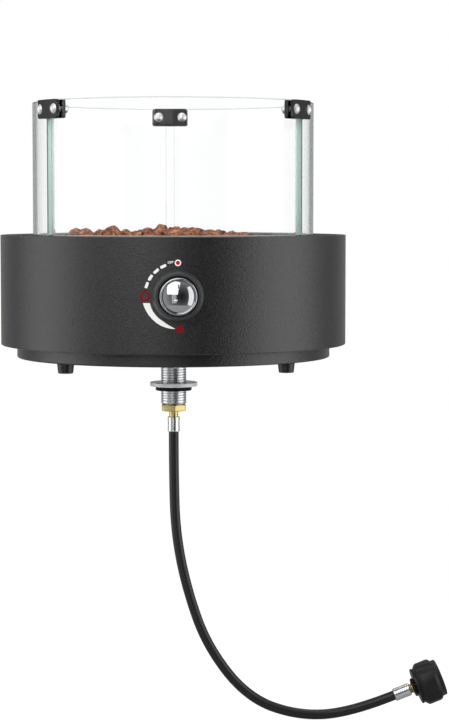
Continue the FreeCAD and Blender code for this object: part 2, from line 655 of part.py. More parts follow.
def cell_reach(index, sites, ray):
    """Return how far a rock may reach along a level ray before what lies next to it."""
    place = sites[index][0]
    reach = ROCK_SPACING
    borders = [(other - place, (other - place).Length / 2 - ROCK_GAP / 2)
               for number, (other, _, _) in enumerate(sites) if number != index]
    to_pilot = FreeCAD.Vector(value("pilot_radius"), 0, 0) - place
    borders.append((to_pilot, to_pilot.Length - PILOT_ROOM))
    if sites[index][1] == value(BOWL_FLOOR):
        borders.append((-place, place.Length - value("burner_radius + burner_rim") - ROCK_GAP))
    for across, distance in borders:
        facing = across.dot(ray) / across.Length
        if facing > 0.01:
            reach = min(reach, distance / facing)
    return reach


def touching_points(index, sites, level):
    """Return a corner towards each close neighbour, half the gap short of the border."""
    place = sites[index][0]
    points = []
    for other, (neighbour, _, _) in enumerate(sites):
        across = neighbour - place
        if other != index and across.Length < ROCK_SPACING * 1.15:
            half = across.Length / 2 - ROCK_GAP / 2
            point = place + across.normalize() * half
            points.append(FreeCAD.Vector(point.x, point.y, level))
    return points


def hull(points):
    """Return the solid of the smallest convex shape round some points."""
    faces = []
    for corners in itertools.combinations(range(len(points)), 3):
        face = hull_face(points, corners)
        if face:
            faces.append(face)
    shell = Part.Shell(faces)
    shell.sewShape()
    solid = Part.makeSolid(shell)
    if solid.Volume < 0:
        solid.reverse()
    return solid


def hull_face(points, corners):
    """Return the triangle on three points when all the others lie on one side of it."""
    one, two, three = [points[corner] for corner in corners]
    normal = (two - one).cross(three - one)
    side = 0
    for index, point in enumerate(points):
        if index in corners:
            continue
        height = normal.dot(point - one)
        if side == 0:
            side = height
        elif height * side < 0:
            return None
    loop = [one, two, three, one] if side < 0 else [one, three, two, one]
    return Part.Face(Part.makePolygon(loop))


def lava_rocks():
    """One close layer of rough rocks on the burner and on the bowl's floor."""
    maker = random.Random(ROCK_SEED)
    sites = rock_sites()
    solids = [hull(rock_points(index, sites, maker)) for index in range(len(sites))]
    rocks = doc.addObject("Part::Feature", "lava_rocks")
    rocks.Shape = Part.makeCompound(solids)
    return keep(rocks, "lava_rocks")


# ---------------------------------------------------------------- valve, on the knob's axis

def valve_axis_body(name):
    """Start a body on the knob's axis; its Z runs out of the drum from the drum's face."""
    return new_body(name, ("0", "-drum_radius", KNOB_LEVEL), (1, 0, 0), "90")


def drum_curve_cut(body, radius, outside):
    """Shape a valve part to the drum's curve, by cutting what lies inside or outside of it."""
    sketch = circles(body, "XZ_Plane", [("0", "-drum_radius", radius)])
    if outside:
        frame = "drum_radius * 1.5"
        corners = [(f"-{frame}", f"-drum_radius - {frame}"), (frame, f"-drum_radius - {frame}"),
                   (frame, f"{frame} - drum_radius"), (f"-{frame}", f"{frame} - drum_radius")]
        places = [FreeCAD.Vector(value(x), value(y), 0) for x, y in corners]
        for index, place in enumerate(places):
            sketch.addGeometry(Part.LineSegment(place, places[(index + 1) % 4]))
        for index, (x, y) in enumerate(corners):
            before = (index - 1) % 4
            sketch.addConstraint(Sketcher.Constraint("Coincident", before + 1, 2, index + 1, 1))
            bind(sketch, "DistanceX", index + 1, 1, x)
            bind(sketch, "DistanceY", index + 1, 1, y)
    return cut_through(body, sketch)


def knob_bezel():
    """Raised ring round the knob, shaped to the drum's curve at its back."""
    body = valve_axis_body("knob_bezel")
    revolve(body, [
        ("bezel_radius", "-bezel_height / 2"), ("bezel_radius", "bezel_lip"),
        ("bezel_top_radius", "bezel_height - bezel_bevel"),
        ("bezel_top_radius - bezel_bevel", "bezel_height"),
        ("bezel_opening + bezel_bevel", "bezel_height"),
        ("bezel_opening", "bezel_height - bezel_bevel"),
        ("bezel_opening", "-bezel_height / 2"),
    ])
    drum_curve_cut(body, "drum_radius + running_gap", False)
    return keep(body, "knob_bezel")


def valve_spacer():
    """Plastic spacer between the drum's curved wall and the valve's flat flange."""
    body = valve_axis_body("valve_spacer")
    revolve(body, [
        ("spindle_window", PANEL_SEAT), ("spacer_radius", PANEL_SEAT), ("spacer_radius", "0"),
        ("spindle_window", "0"),
    ])
    for side in ("", "-"):
        drill(body, "panel_screw_radius + running_gap", "panel_seat * 2",
              (f"{side}panel_screw_pitch / 2", "0", "-panel_seat * 1.5"))
    drum_curve_cut(body, "drum_radius - drum_wall - running_gap", True)
    return keep(body, "valve_spacer")


def valve_screws():
    """Two pan-head screws through the drum wall into the valve, hidden behind the knob."""
    near_edge = "(panel_screw_pitch / 2 - panel_screw_head)"
    under = f"(sqrt(drum_radius ^ 2 - {near_edge} ^ 2) - drum_radius + running_gap)"
    top = f"({under} + panel_screw_head_height)"
    end = f"({BONNET_REAR} - flange_step)"
    bodies = []
    for side in ("", "-"):
        body = new_body("valve_screw", (f"{side}panel_screw_pitch / 2", "-drum_radius", KNOB_LEVEL),
                        (1, 0, 0), "90")
        revolve(body, [
            ("0", top), ("panel_screw_head - panel_screw_head_bevel", top),
            ("panel_screw_head", f"{top} - panel_screw_head_bevel"),
            ("panel_screw_head", under), ("panel_screw_radius", under),
            ("panel_screw_radius", end), ("0", end),
        ])
        bodies.append(body)
    return group("valve_screws", bodies)


def valve_bonnet():
    """Front cover of the gas valve, with the spindle's bearing."""
    body = valve_axis_body("valve_bonnet")
    revolve(body, [
        ("spindle_radius + running_gap", PANEL_SEAT), ("valve_flange", PANEL_SEAT),
        ("valve_flange", BONNET_REAR), ("spindle_radius + running_gap", BONNET_REAR),
    ])
    for side in ("", "-"):
        drill(body, "panel_screw_radius + running_gap", "panel_seat * 3",
              (f"{side}panel_screw_pitch / 2", "0", "-panel_seat * 3"))
    return keep(body, "valve_bonnet")


def valve_body():
    """Brass casting with the spring's chamber, the plug's tapered seat and both gas bosses."""
    body = valve_axis_body("valve_body")
    revolve(body, [
        ("0", VALVE_REAR), ("valve_radius - 2", VALVE_REAR),
        ("valve_radius", f"{VALVE_REAR} + 2"), ("valve_radius", f"{BONNET_REAR} - flange_step"),
        ("valve_flange", f"{BONNET_REAR} - flange_step"), ("valve_flange", BONNET_REAR),
        ("0", BONNET_REAR),
    ])
    rod(body, "Additive", "outlet_radius", "outlet_length + 1",
        ("0", "0", f"{VALVE_REAR} - outlet_length"))
    rod(body, "Additive", "inlet_radius", "inlet_reach", ("0", "0", "-inlet_setback"),
        ALONG_MINUS_Y)
    chambers = body.newObject("PartDesign::Groove", "Chambers")
    chambers.Profile = outline(body, "XZ_Plane", [
        ("0", BONNET_REAR), ("spring_chamber", BONNET_REAR), ("spring_chamber", CHAMBER_FLOOR),
        ("plug_radius + running_gap", CHAMBER_FLOOR),
        ("plug_tip_radius + running_gap", f"{PLUG_END} - slide_gap"),
        ("0", f"{PLUG_END} - slide_gap"),
    ])
    chambers.ReferenceAxis = (chambers.Profile[0], ["V_Axis"])
    chambers.Angle = 360
    drill(body, "gas_way", "valve_length + outlet_length",
          ("0", "0", f"{VALVE_REAR} - outlet_length - 1"))
    drill(body, "gas_way", "inlet_reach + 1", ("0", "0", "-inlet_setback"), ALONG_MINUS_Y)
    drill(body, "pipe_radius + running_gap", "pipe_socket + 1",
          ("0", "pipe_socket - inlet_reach", "-inlet_setback"), ALONG_MINUS_Y)
    for side in ("", "-"):
        drill(body, "panel_screw_radius + running_gap", "flange_step + 1",
              (f"{side}panel_screw_pitch / 2", "0", f"{BONNET_REAR} - flange_step"))
    return keep(body, "valve_body")


def valve_plug():
    """Tapered brass plug that meters the gas and turns with the knob's spindle."""
    body = valve_axis_body("valve_plug")
    revolve(body, [
        ("spindle_radius + slide_gap", CHAMBER_FLOOR), ("plug_radius", CHAMBER_FLOOR),
        ("plug_tip_radius", PLUG_END), ("0", PLUG_END), ("0", f"{PLUG_END} + plug_web"),
        ("spindle_radius + slide_gap", f"{PLUG_END} + plug_web"),
    ])
    drill(body, "gas_way", "plug_radius * 2", ("0", "0", "-inlet_setback"), ALONG_MINUS_Y)
    drill(body, "gas_way / 2", "plug_web * 3", ("0", "0", f"{PLUG_END} - plug_web"))
    return keep(body, "valve_plug")


def valve_spindle():
    """Steel spindle with the collar that stops it and the flat that drives the knob."""
    body = valve_axis_body("valve_spindle")
    collar_front = f"({BONNET_REAR} - slide_gap)"
    end = f"({PLUG_END} + plug_web + push_travel + slide_gap)"
    tip = "(knob_seat + hub_depth - slide_gap)"
    revolve(body, [
        ("0", end), ("spindle_radius", end), ("spindle_radius", COLLAR_REAR),
        ("collar_radius", COLLAR_REAR), ("collar_radius", collar_front),
        ("spindle_radius", collar_front), ("spindle_radius", f"{tip} - 0.6"),
        ("spindle_radius - 0.6", tip), ("0", tip),
    ])
    flat = "spindle_radius - spindle_flat"
    cut = body.newObject("PartDesign::Pocket", "DriveFlat")
    sketch = outline(body, "XY_Plane", [
        ("-spindle_radius * 2", flat), ("spindle_radius * 2", flat),
        ("spindle_radius * 2", "spindle_radius * 2"), ("-spindle_radius * 2", "spindle_radius * 2"),
    ])
    sketch.setExpression("AttachmentOffset.Base.z", cells("knob_seat"))
    cut.Profile = sketch
    cut.Reversed = True
    cut.setExpression("Length", cells("hub_depth"))
    return keep(body, "valve_spindle")


def thrust_washer():
    """Washer between the spindle's collar and the return spring; it slides but never turns."""
    body = valve_axis_body("thrust_washer")
    front = f"({COLLAR_REAR} - running_gap)"
    revolve(body, [
        ("spindle_radius + slide_gap", front), ("washer_radius", front),
        ("washer_radius", WASHER_REAR), ("spindle_radius + slide_gap", WASHER_REAR),
    ])
    return keep(body, "thrust_washer")


def push_spring():
    """Coil spring that pushes the knob back out after lighting."""
    body = valve_axis_body("push_spring")
    section = circles(body, "XZ_Plane", [("spring_radius", "0", "spring_wire")])
    section.setExpression("AttachmentOffset.Base.y", cells(f"{CHAMBER_FLOOR} + spring_wire"))
    coil = body.newObject("PartDesign::AdditiveHelix", "Coil")
    coil.Profile = section
    coil.ReferenceAxis = (section, ["V_Axis"])
    coil.Mode = "pitch-height-angle"
    coil.setExpression("Pitch", cells("spring_pitch"))
    coil.setExpression("Height", cells(f"{WASHER_REAR} - {CHAMBER_FLOOR} - spring_wire * 2.1"))
    return keep(body, "push_spring")


def piezo_igniter():
    """Spark generator clipped on top of the valve, struck as the knob is turned."""
    level = "valve_radius + igniter_radius + running_gap"
    start = f"({BONNET_REAR} - flange_step - running_gap)"
    body = new_body("piezo_igniter", ("0", "-drum_radius", f"{KNOB_LEVEL} + {level}"),
                    (1, 0, 0), "90")
    end = f"({start} - igniter_length)"
    revolve(body, [
        ("0", start), ("igniter_radius - 1", start), ("igniter_radius", f"{start} - 1"),
        ("igniter_radius", end), ("igniter_pin * 2", end),
        ("igniter_pin", f"{end} - igniter_pin"), ("igniter_pin", f"{end} - igniter_pin * 4"),
        ("0", f"{end} - igniter_pin * 4"),
    ])
    return keep(body, "piezo_igniter")


def gas_jet():
    """Brass jet on the valve's outlet, with its tip in the mixing tube's mouth."""
    body = valve_axis_body("gas_jet")
    start = f"({VALVE_REAR} - outlet_length)"
    end = f"({start} - jet_length)"
    step = f"({end} + jet_tip_length)"
    revolve(body, [
        ("gas_way", start), ("jet_radius", start), ("jet_radius", f"{step} + 1"),
        ("jet_tip_radius", step), ("jet_tip_radius", end), ("gas_way / 3", end),
        ("gas_way / 3", f"{end} + 2"), ("gas_way", f"{end} + 4"),
    ])
    return keep(body, "gas_jet")


def knob_body():
    """Moulded hub of the knob, with a flatted socket for the spindle."""
    body = valve_axis_body("knob_body")
    skirt = "(knob_radius - knob_wall - running_gap)"
    rim = "(knob_seat + knob_side)"
    socket = "(knob_seat + hub_depth)"
    revolve(body, [
        ("spindle_radius + running_gap", "knob_seat"), (skirt, "knob_seat"),
        (skirt, f"{rim} - knob_wall - running_gap"), ("crown_radius - knob_wall * 2 - 0.3", rim),
        ("crown_radius / 2", f"{rim} + knob_wall"), ("0", f"{rim} + knob_wall"), ("0", socket),
        ("spindle_radius + running_gap", socket),
    ])
    return keep(body, "knob_body")


def knob_cap():
    """Chromed cap with a beaded rim, a low dome and an engraved index line."""
    body = valve_axis_body("knob_cap")
    rim = "(knob_seat + knob_side)"
    inner = "(knob_radius - knob_wall)"
    crown = f"({rim} + knob_crown)"
    inner_crown = "(crown_radius - knob_wall * 2)"
    dome = dome_radius("crown_radius", "knob_crown")
    revolve(body, [
        (inner, "knob_seat"), ("knob_radius", "knob_seat"), ("knob_radius", rim, "bead_radius"),
        ("crown_radius + 0.3", f"{rim} + 0.3"), ("crown_radius", rim, dome), ("0", crown),
        ("0", f"{crown} - knob_wall"), (inner_crown, f"{rim} + running_gap"),
        (inner, f"{rim} - knob_wall"),
    ])
    cut_index_mark(body, rim)
    return keep(body, "knob_cap")


def dome_radius(half_width, rise):
    """Return the radius of a dome; a touch over the true one, so that it can't pass the axis."""
    return f"(({half_width} ^ 2 + {rise} ^ 2) / (2 * {rise}) * 1.02)"


def cut_index_mark(body, rim):
    """Cut the short index line in the top of the knob's dome, square to its surface."""
    radius = value(dome_radius("crown_radius", "knob_crown"))
    start = value("mark_start")
    tilt = math.degrees(math.asin((start + value("mark_length") / 2) / radius))
    drop = radius - math.sqrt(radius ** 2 - start ** 2)
    mark = body.newObject("PartDesign::SubtractiveBox", "IndexMark")
    rotation = FreeCAD.Rotation(FreeCAD.Vector(1, 0, 0), -tilt)
    level = f"{rim} + knob_crown - {drop:.6f} - mark_depth"
    place = ("-mark_width / 2", "mark_start", level)
    mark.Placement = FreeCAD.Placement(FreeCAD.Vector(*[value(part) for part in place]), rotation)
    for letter, part in zip("xyz", place):
        mark.setExpression(f"Placement.Base.{letter}", cells(part))
    mark.setExpression("Length", cells("mark_width"))
    mark.setExpression("Width", cells("mark_length"))
    mark.setExpression("Height", cells("mark_depth * 6"))


# ---------------------------------------------------------------- glass wind guard

def radial_drill(body, radius, angle, level="0"):
    """Drill through the guard's wall towards its axis, at an angle from the body's X axis."""
    start = f"({GLASS_INNER} - glass_wall * 2)"
    across = math.cos(math.radians(angle))
    aside = math.sin(math.radians(angle))
    rotation = FreeCAD.Rotation(FreeCAD.Vector(0, 0, 1), angle).multiply(ALONG_X)
    return drill(body, radius, "glass_wall * 5",
                 (f"{start} * {across:.9f}", f"{start} * {aside:.9f}", level), rotation)


def glass_panel(label, azimuth):
    """One third of the guard: bent glass with bevelled edges and a hole at each top corner."""
    body = new_body(label, ("0", "0", DECK), (0, 0, 1), str(azimuth - 90))
    panel = revolve(body, [
        (GLASS_INNER, "0"), ("glass_radius", "0"), ("glass_radius", "glass_height"),
        (GLASS_INNER, "glass_height"),
    ], angle="120 - glass_gap_angle")
    doc.recompute()
    bevel = body.newObject("PartDesign::Chamfer", "Bevel")
    bevel.Base = (panel, [f"Edge{number}" for number in range(1, len(panel.Shape.Edges) + 1)])
    bevel.setExpression("Size", cells("glass_bevel"))
    for side in (-1, 1):
        radial_drill(body, "glass_hole", side * (60 - value("clip_screw_angle")),
                     "glass_height - clip_height / 2")
    return keep(body, label)


def clip_plates(label, inner, outer):
    """Three bent plates over the gaps between the panels, each drilled for its two screws."""
    bodies = []
    for azimuth in CLIP_AZIMUTHS:
        body = new_body(label, ("0", "0", CLIP_LEVEL), (0, 0, 1), str(azimuth - 90))
        plate = revolve(body, [
            (inner, "-clip_height / 2"), (outer, "-clip_height / 2"), (outer, "clip_height / 2"),
            (inner, "clip_height / 2"),
        ], angle="clip_angle")
        doc.recompute()
        corners = [f"Edge{number}" for number, edge in enumerate(plate.Shape.Edges, start=1)
                   if isinstance(edge.Curve, Part.Line)
                   and abs(edge.Vertexes[0].Z - edge.Vertexes[1].Z) < 1e-6]
        soft = body.newObject("PartDesign::Fillet", "Corners")
        soft.Base = (plate, corners)
        soft.setExpression("Radius", cells("clip_round"))
        for side in (-1, 1):
            radial_drill(body, "clip_screw_radius + sleeve_gap", side * value("clip_screw_angle"))
        bodies.append(body)
    return bodies


def radial_pieces(label, corners):
    """Turned pieces on the six clip screws' axes; x runs outwards and y is the radius."""
    bodies = []
    for azimuth in CLIP_AZIMUTHS:
        for side in ("-", ""):
            body = new_body(label, ("0", "0", CLIP_LEVEL), (0, 0, 1),
                            f"{azimuth - 90} + {side}clip_screw_angle")
            revolve(body, corners, about="H_Axis")
            bodies.append(body)
    return bodies


def glass_clips():
    """The three clips: bent plates, rubber pads, sleeves, dome screws and cap nuts."""
    outer_pad = "(glass_radius + clip_pad)"
    inner_pad = f"({GLASS_INNER} - clip_pad)"
    outer_face = f"({outer_pad} + clip_thickness)"
    inner_face = f"({inner_pad} - clip_thickness)"
    sleeve_end = "sqrt(glass_radius ^ 2 - glass_hole ^ 2)"
    nut_face = f"sqrt({inner_face} ^ 2 - clip_nut_radius ^ 2)"
    group("clip_outer_plates", clip_plates("clip_outer_plate", outer_pad, outer_face))
    group("clip_inner_plates", clip_plates("clip_inner_plate", inner_face, inner_pad))
    group("clip_pads", clip_plates("clip_outer_pad", "glass_radius", outer_pad)
          + clip_plates("clip_inner_pad", inner_pad, GLASS_INNER))
    group("clip_sleeves", radial_pieces("clip_sleeve", [
        (GLASS_INNER, "clip_screw_radius + sleeve_gap"),
        (sleeve_end, "clip_screw_radius + sleeve_gap"),
        (sleeve_end, "glass_hole - sleeve_gap"), (GLASS_INNER, "glass_hole - sleeve_gap"),
    ]))
    nut_rim = f"({nut_face} - clip_nut_height / 2)"
    nut_dome = dome_radius("clip_nut_radius", "(clip_nut_height / 2)")
    shank_end = f"({nut_rim} + clip_nut_height / 6)"
    head_dome = dome_radius("clip_head_radius", "clip_head_height")
    group("clip_screws", radial_pieces("clip_screw", [
        (shank_end, "0"), (shank_end, "clip_screw_radius"), (outer_face, "clip_screw_radius"),
        (outer_face, "clip_head_radius", f"-{head_dome}"),
        (f"{outer_face} + clip_head_height", "0"),
    ]))
    group("clip_nuts", radial_pieces("clip_nut", [
        (f"{nut_face} - clip_nut_height", "0"),
        (f"{nut_face} - clip_nut_height", "clip_nut_radius / 16", f"-{nut_dome}"),
        (nut_rim, "clip_nut_radius"),
        (nut_face, "clip_nut_radius"), (nut_face, "clip_screw_radius + running_gap"),
        (f"{shank_end} - running_gap", "clip_screw_radius + running_gap"),
        (f"{shank_end} - running_gap", "0"),
    ]))


# ---------------------------------------------------------------- base tray and feet

def base_tray():
    """Pressed tray that closes the drum's foot, with the stem's hole and a ring of air holes."""
    body = new_body("base_tray", ("0", "0", "foot_height"))
    inner = "tray_radius - tray_wall"
    stem_hole = "stem_radius + running_gap"
    revolve(body, [
        (stem_hole, "0"), ("tray_radius", "0"), ("tray_radius", "tray_height"),
        ("tray_radius - tray_flange", "tray_height"),
        ("tray_radius - tray_flange", "tray_height - tray_wall"),
        (inner, "tray_height - tray_wall"), (inner, "tray_wall"), (stem_hole, "tray_wall"),
    ])
    round_rings(body, "tray_edge_round", [("tray_radius", "0")])
    for azimuth in TRAY_SCREW_AZIMUTHS:
        across, along = on_circle("tray_screw_circle", azimuth)
        drill(body, "tray_screw_radius + running_gap", "tray_height * 2",
              (across, along, "-tray_height / 2"))
    for azimuth in FOOT_AZIMUTHS:
        across, along = on_circle("foot_circle", azimuth)
        drill(body, "foot_screw_radius + running_gap", "tray_wall * 2",
              (across, along, "-tray_wall / 2"))
    vent = drill(body, "vent_radius", "tray_wall * 2", ("vent_circle", "0", "-tray_wall / 2"))
    repeat(body, vent, "vent_count")
    return keep(body, "base_tray")


def ring_of_pieces(label, circle, azimuths, level, corners):
    """Equal upright turned pieces on a circle round the stem."""
    bodies = []
    for azimuth in azimuths:
        across, along = on_circle(circle, azimuth)
        body = new_body(label, (across, along, level))
        revolve(body, corners)
        bodies.append(body)
    return group(label, bodies)


def ring_of_nuts(label, circle, azimuths, level, width, height, bore):
    """Equal hexagon nuts on a circle round the stem."""
    bodies = []
    for azimuth in azimuths:
        across, along = on_circle(circle, azimuth)
        body = new_body(label, (across, along, level))
        pad(body, outline(body, "XY_Plane", hexagon(width)), height)
        drill(body, bore, f"{height} * 2", ("0", "0", f"-{height} / 2"))
        bodies.append(body)
    return group(label, bodies)


def tray_fasteners():
    """Screws, spacer tubes and nuts that hold the tray under the drum's flange."""
    shank_top = "tray_height + drum_wall + tray_nut_height"
    ring_of_pieces("tray_screws", "tray_screw_circle", TRAY_SCREW_AZIMUTHS, "foot_height", [
        ("0", "-tray_screw_head_height"), ("tray_screw_head - 1", "-tray_screw_head_height"),
        ("tray_screw_head", "-tray_screw_head_height / 2"), ("tray_screw_head", "0"),
        ("tray_screw_radius", "0"), ("tray_screw_radius", shank_top), ("0", shank_top),
    ])
    ring_of_pieces("tray_spacers", "tray_screw_circle", TRAY_SCREW_AZIMUTHS, TRAY_FLOOR, [
        ("tray_screw_radius + running_gap", "0"), ("tray_spacer_radius", "0"),
        ("tray_spacer_radius", "tray_height - tray_wall * 2"),
        ("tray_screw_radius + running_gap", "tray_height - tray_wall * 2"),
    ])
    ring_of_nuts("tray_nuts", "tray_screw_circle", TRAY_SCREW_AZIMUTHS, f"{DRUM_BASE} + drum_wall",
                 "tray_nut_width", "tray_nut_height", "tray_screw_radius + running_gap")


def feet():
    """Four tapered rubber feet, each on a screw in its recess and a nut inside the tray."""
    ring_of_pieces("rubber_feet", "foot_circle", FOOT_AZIMUTHS, "0", [
        ("foot_recess_radius", "0"), ("foot_bottom_radius - 1", "0"), ("foot_bottom_radius", "1"),
        ("foot_top_radius", "foot_height"), ("foot_screw_radius + running_gap", "foot_height"),
        ("foot_screw_radius + running_gap", "foot_recess_depth"),
        ("foot_recess_radius", "foot_recess_depth"),
    ])
    ring_of_pieces("foot_screws", "foot_circle", FOOT_AZIMUTHS, "foot_recess_depth", [
        ("0", "-foot_head_height"), ("foot_screw_head - 1", "-foot_head_height"),
        ("foot_screw_head", "-foot_head_height / 2"), ("foot_screw_head", "0"),
        ("foot_screw_radius", "0"),
        ("foot_screw_radius", "foot_height - foot_recess_depth + foot_screw_reach"),
        ("0", "foot_height - foot_recess_depth + foot_screw_reach"),
    ])
    ring_of_nuts("foot_nuts", "foot_circle", FOOT_AZIMUTHS, TRAY_FLOOR, "foot_nut_width",
                 "foot_nut_height", "foot_screw_radius + running_gap")


# ---------------------------------------------------------------- stem, clamp and gas inlet

def table_stem():
    """Hollow threaded stem with a welded collar under the tray; the thread is left smooth."""
    body = new_body("table_stem")
    collar_low = "foot_height - stem_collar_height"
    revolve(body, [
        ("stem_bore", STEM_END), ("stem_radius - stem_chamfer", STEM_END),
        ("stem_radius", f"{STEM_END} + stem_chamfer"), ("stem_radius", collar_low),
        ("stem_collar_radius", collar_low), ("stem_collar_radius", "foot_height"),
        ("stem_radius", "foot_height"), ("stem_radius", "stem_top - stem_chamfer"),
        ("stem_radius - stem_chamfer", "stem_top"), ("stem_bore", "stem_top"),
    ])
    return keep(body, "table_stem")


def stem_nut():
    """Large hexagon nut inside the tray that holds the stem."""
    body = new_body("stem_nut", ("0", "0", TRAY_FLOOR))
    pad(body, outline(body, "XY_Plane", hexagon("stem_nut_width")), "stem_nut_height")
    drill(body, "stem_radius + running_gap", "stem_nut_height * 2",
          ("0", "0", "-stem_nut_height / 2"))
    return keep(body, "stem_nut")


def clamp_washer():
    """Wide steel washer that bears on the underside of the table top."""
    body = new_body("clamp_washer", ("0", "0", "-clamp_drop"))
    bore = "stem_radius + thread_gap"
    revolve(body, [
        (bore, "-clamp_washer_height"), ("clamp_washer_radius", "-clamp_washer_height"),
        ("clamp_washer_radius", "0"), (bore, "0"),
    ])
    round_rings(body, "clamp_washer_height / 6",
                [("clamp_washer_radius", "0"), ("clamp_washer_radius", "-clamp_washer_height")])
    return keep(body, "clamp_washer")


def clamp_nut():
    """Moulded ring nut that draws the washer up against the table."""
    body = new_body("clamp_nut", ("0", "0", "-clamp_drop - clamp_washer_height"))
    bore = "stem_radius + running_gap"
    revolve(body, [
        (bore, "-clamp_nut_height"), ("clamp_nut_radius - clamp_nut_bevel", "-clamp_nut_height"),
        ("clamp_nut_radius", "clamp_nut_bevel - clamp_nut_height"), ("clamp_nut_radius", "0"),
        (bore, "0"),
    ])
    notch = drill(body, "clamp_notch_radius", "clamp_nut_height * 2",
                  ("clamp_nut_radius + clamp_notch_radius - clamp_notch_depth", "0",
                   "-clamp_nut_height * 1.5"))
    repeat(body, notch, "clamp_nut_notches")
    return keep(body, "clamp_nut")


def supply_pipe():
    """Bent tube that carries the gas from the stem's end to the valve's inlet."""
    body = new_body("supply_pipe")
    start = "(-stem_reach + inlet_spigot_height - pipe_socket)"
    setback = "(drum_radius - inlet_setback)"
    top = f"({KNOB_LEVEL} - inlet_reach + pipe_socket)"
    run, bend = "pipe_run_level", "pipe_bend"
    corners = [("0", start), ("0", f"{run} - {bend}"), (f"-{bend}", run),
               (f"{bend} - {setback}", run), (f"-{setback}", f"{run} + {bend}"),
               (f"-{setback}", top)]
    for kind, radius in (("Additive", "pipe_radius"), ("Subtractive", "pipe_radius - pipe_wall")):
        path = new_sketch(body, "YZ_Plane")
        places = [FreeCAD.Vector(value(x), value(y), 0) for x, y in corners]
        size = value(bend)
        inside = size * (1 - math.sqrt(0.5))
        knees = [places[1] + FreeCAD.Vector(-inside, size - inside, 0),
                 places[3] + FreeCAD.Vector(inside - size, inside, 0)]
        path.addGeometry(Part.LineSegment(places[0], places[1]))
        path.addGeometry(left_arc(places[1], knees[0], places[2]))
        path.addGeometry(Part.LineSegment(places[2], places[3]))
        path.addGeometry(left_arc(places[3], knees[1], places[4]))
        path.addGeometry(Part.LineSegment(places[4], places[5]))
        lock_pipe_path(path, corners, bend)
        section = circles(body, "XY_Plane", [("0", "0", radius)])
        section.setExpression("AttachmentOffset.Base.z", cells(start))
        pipe = body.newObject(f"PartDesign::{kind}Pipe", "Swept")
        pipe.Profile = section
        pipe.Spine = path
    return keep(body, "supply_pipe")


def lock_pipe_path(path, corners, bend):
    """Bind a path of straight runs joined by equal bends to the sheet."""
    for number in (1, 3):
        first = 1 if path.Geometry[number].StartPoint.isEqual(
            path.Geometry[number - 1].EndPoint, 1e-6) else 2
        path.addConstraint(Sketcher.Constraint("Coincident", number - 1, 2, number, first))
        path.addConstraint(Sketcher.Constraint("Coincident", number, 3 - first, number + 1, 1))
        bind(path, "Radius", number, bend)
    for number, (start, end) in ((0, corners[0:2]), (2, corners[2:4]), (4, corners[4:6])):
        for point, (x, y) in ((1, start), (2, end)):
            bind(path, "DistanceX", number, point, x)
            bind(path, "DistanceY", number, point, y)


def inlet_fitting():
    """Brass fitting in the stem's end: spigot, hexagon flange, neck and hose barb."""
    body = new_body("inlet_fitting", ("0", "0", STEM_END))
    hex_low = "(-inlet_hex_height)"
    neck_low = f"({hex_low} - inlet_neck_length)"
    barb_low = f"({neck_low} - ferrule_length + 1)"
    revolve(body, [
        ("gas_way", barb_low), ("barb_radius", barb_low), ("barb_radius", neck_low),
        ("inlet_neck_radius", neck_low), ("inlet_neck_radius", f"{hex_low} + 1"),
        ("stem_bore - running_gap", f"{hex_low} + 1"),
        ("stem_bore - running_gap", "inlet_spigot_height"),
        ("pipe_radius + running_gap", "inlet_spigot_height"),
        ("pipe_radius + running_gap", "inlet_spigot_height - pipe_socket"),
        ("gas_way", "inlet_spigot_height - pipe_socket"),
    ])
    pad(body, outline(body, "XY_Plane", hexagon("inlet_hex_width", INLET_HEX_TURN)),
        "inlet_hex_height", hex_low)
    drill(body, "gas_way", "inlet_hex_height * 2", ("0", "0", "-inlet_hex_height * 1.5"))
    return keep(body, "inlet_fitting")


# ---------------------------------------------------------------- hose and cylinder connector

def ferrule(label, size, place, axis, turn):
    """Crimped sleeve over a hose end, from the hose's cut end along the barb."""
    body = new_body(label, place, axis, turn)
    radius, length = f"{size}_radius", f"{size}_length"
    revolve(body, [
        ("barb_radius + running_gap", "0"), (f"{radius} - ferrule_round", "0"),
        (radius, "ferrule_round"), (radius, f"{length} - ferrule_round"),
        (f"{radius} - ferrule_round", length), ("barb_radius + running_gap", length),
    ])
    return keep(body, label)


def hose_wire():
    """Return the hose's centre line, with each corner of the route rounded by a large arc."""
    route = [FreeCAD.Vector(*point) for point in HOSE_ROUTE]
    edges = []
    here = route[0]
    radii = []
    for before, corner, after in zip(route, route[1:], route[2:]):
        back = (before - corner).normalize()
        ahead = (after - corner).normalize()
        half_turn = (math.pi - back.getAngle(ahead)) / 2
        cut = 0.45 * min((before - corner).Length, (after - corner).Length)
        radius = cut / math.tan(half_turn)
        inwards = (back + ahead).normalize()
        middle = corner + inwards * (radius / math.cos(half_turn) - radius)
        start = corner + back * cut
        end = corner + ahead * cut
        edges.append(Part.LineSegment(here, start).toShape())
        edges.append(Part.Arc(start, middle, end).toShape())
        radii.append(round(radius, 1))
        here = end
    edges.append(Part.LineSegment(here, route[-1]).toShape())
    print("hose radii", radii)
    return Part.Wire(edges)


def gas_hose():
    """Rubber gas hose, solid, hanging in one curve from ferrule to ferrule."""
    path = hose_wire()
    start = FreeCAD.Vector(*HOSE_ROUTE[0])
    along = FreeCAD.Vector(*HOSE_ROUTE[1]) - start
    radius = value("hose_radius")
    circle = Part.Wire([Part.makeCircle(radius, start, along)])
    solid = path.makePipeShell([circle], True, False)
    print("hose length", round(path.Length, 1), "volume share",
          round(solid.Volume / (math.pi * radius ** 2 * path.Length), 4))
    hose = doc.addObject("Part::Feature", "gas_hose")
    hose.Shape = solid
    return keep(hose, "gas_hose")


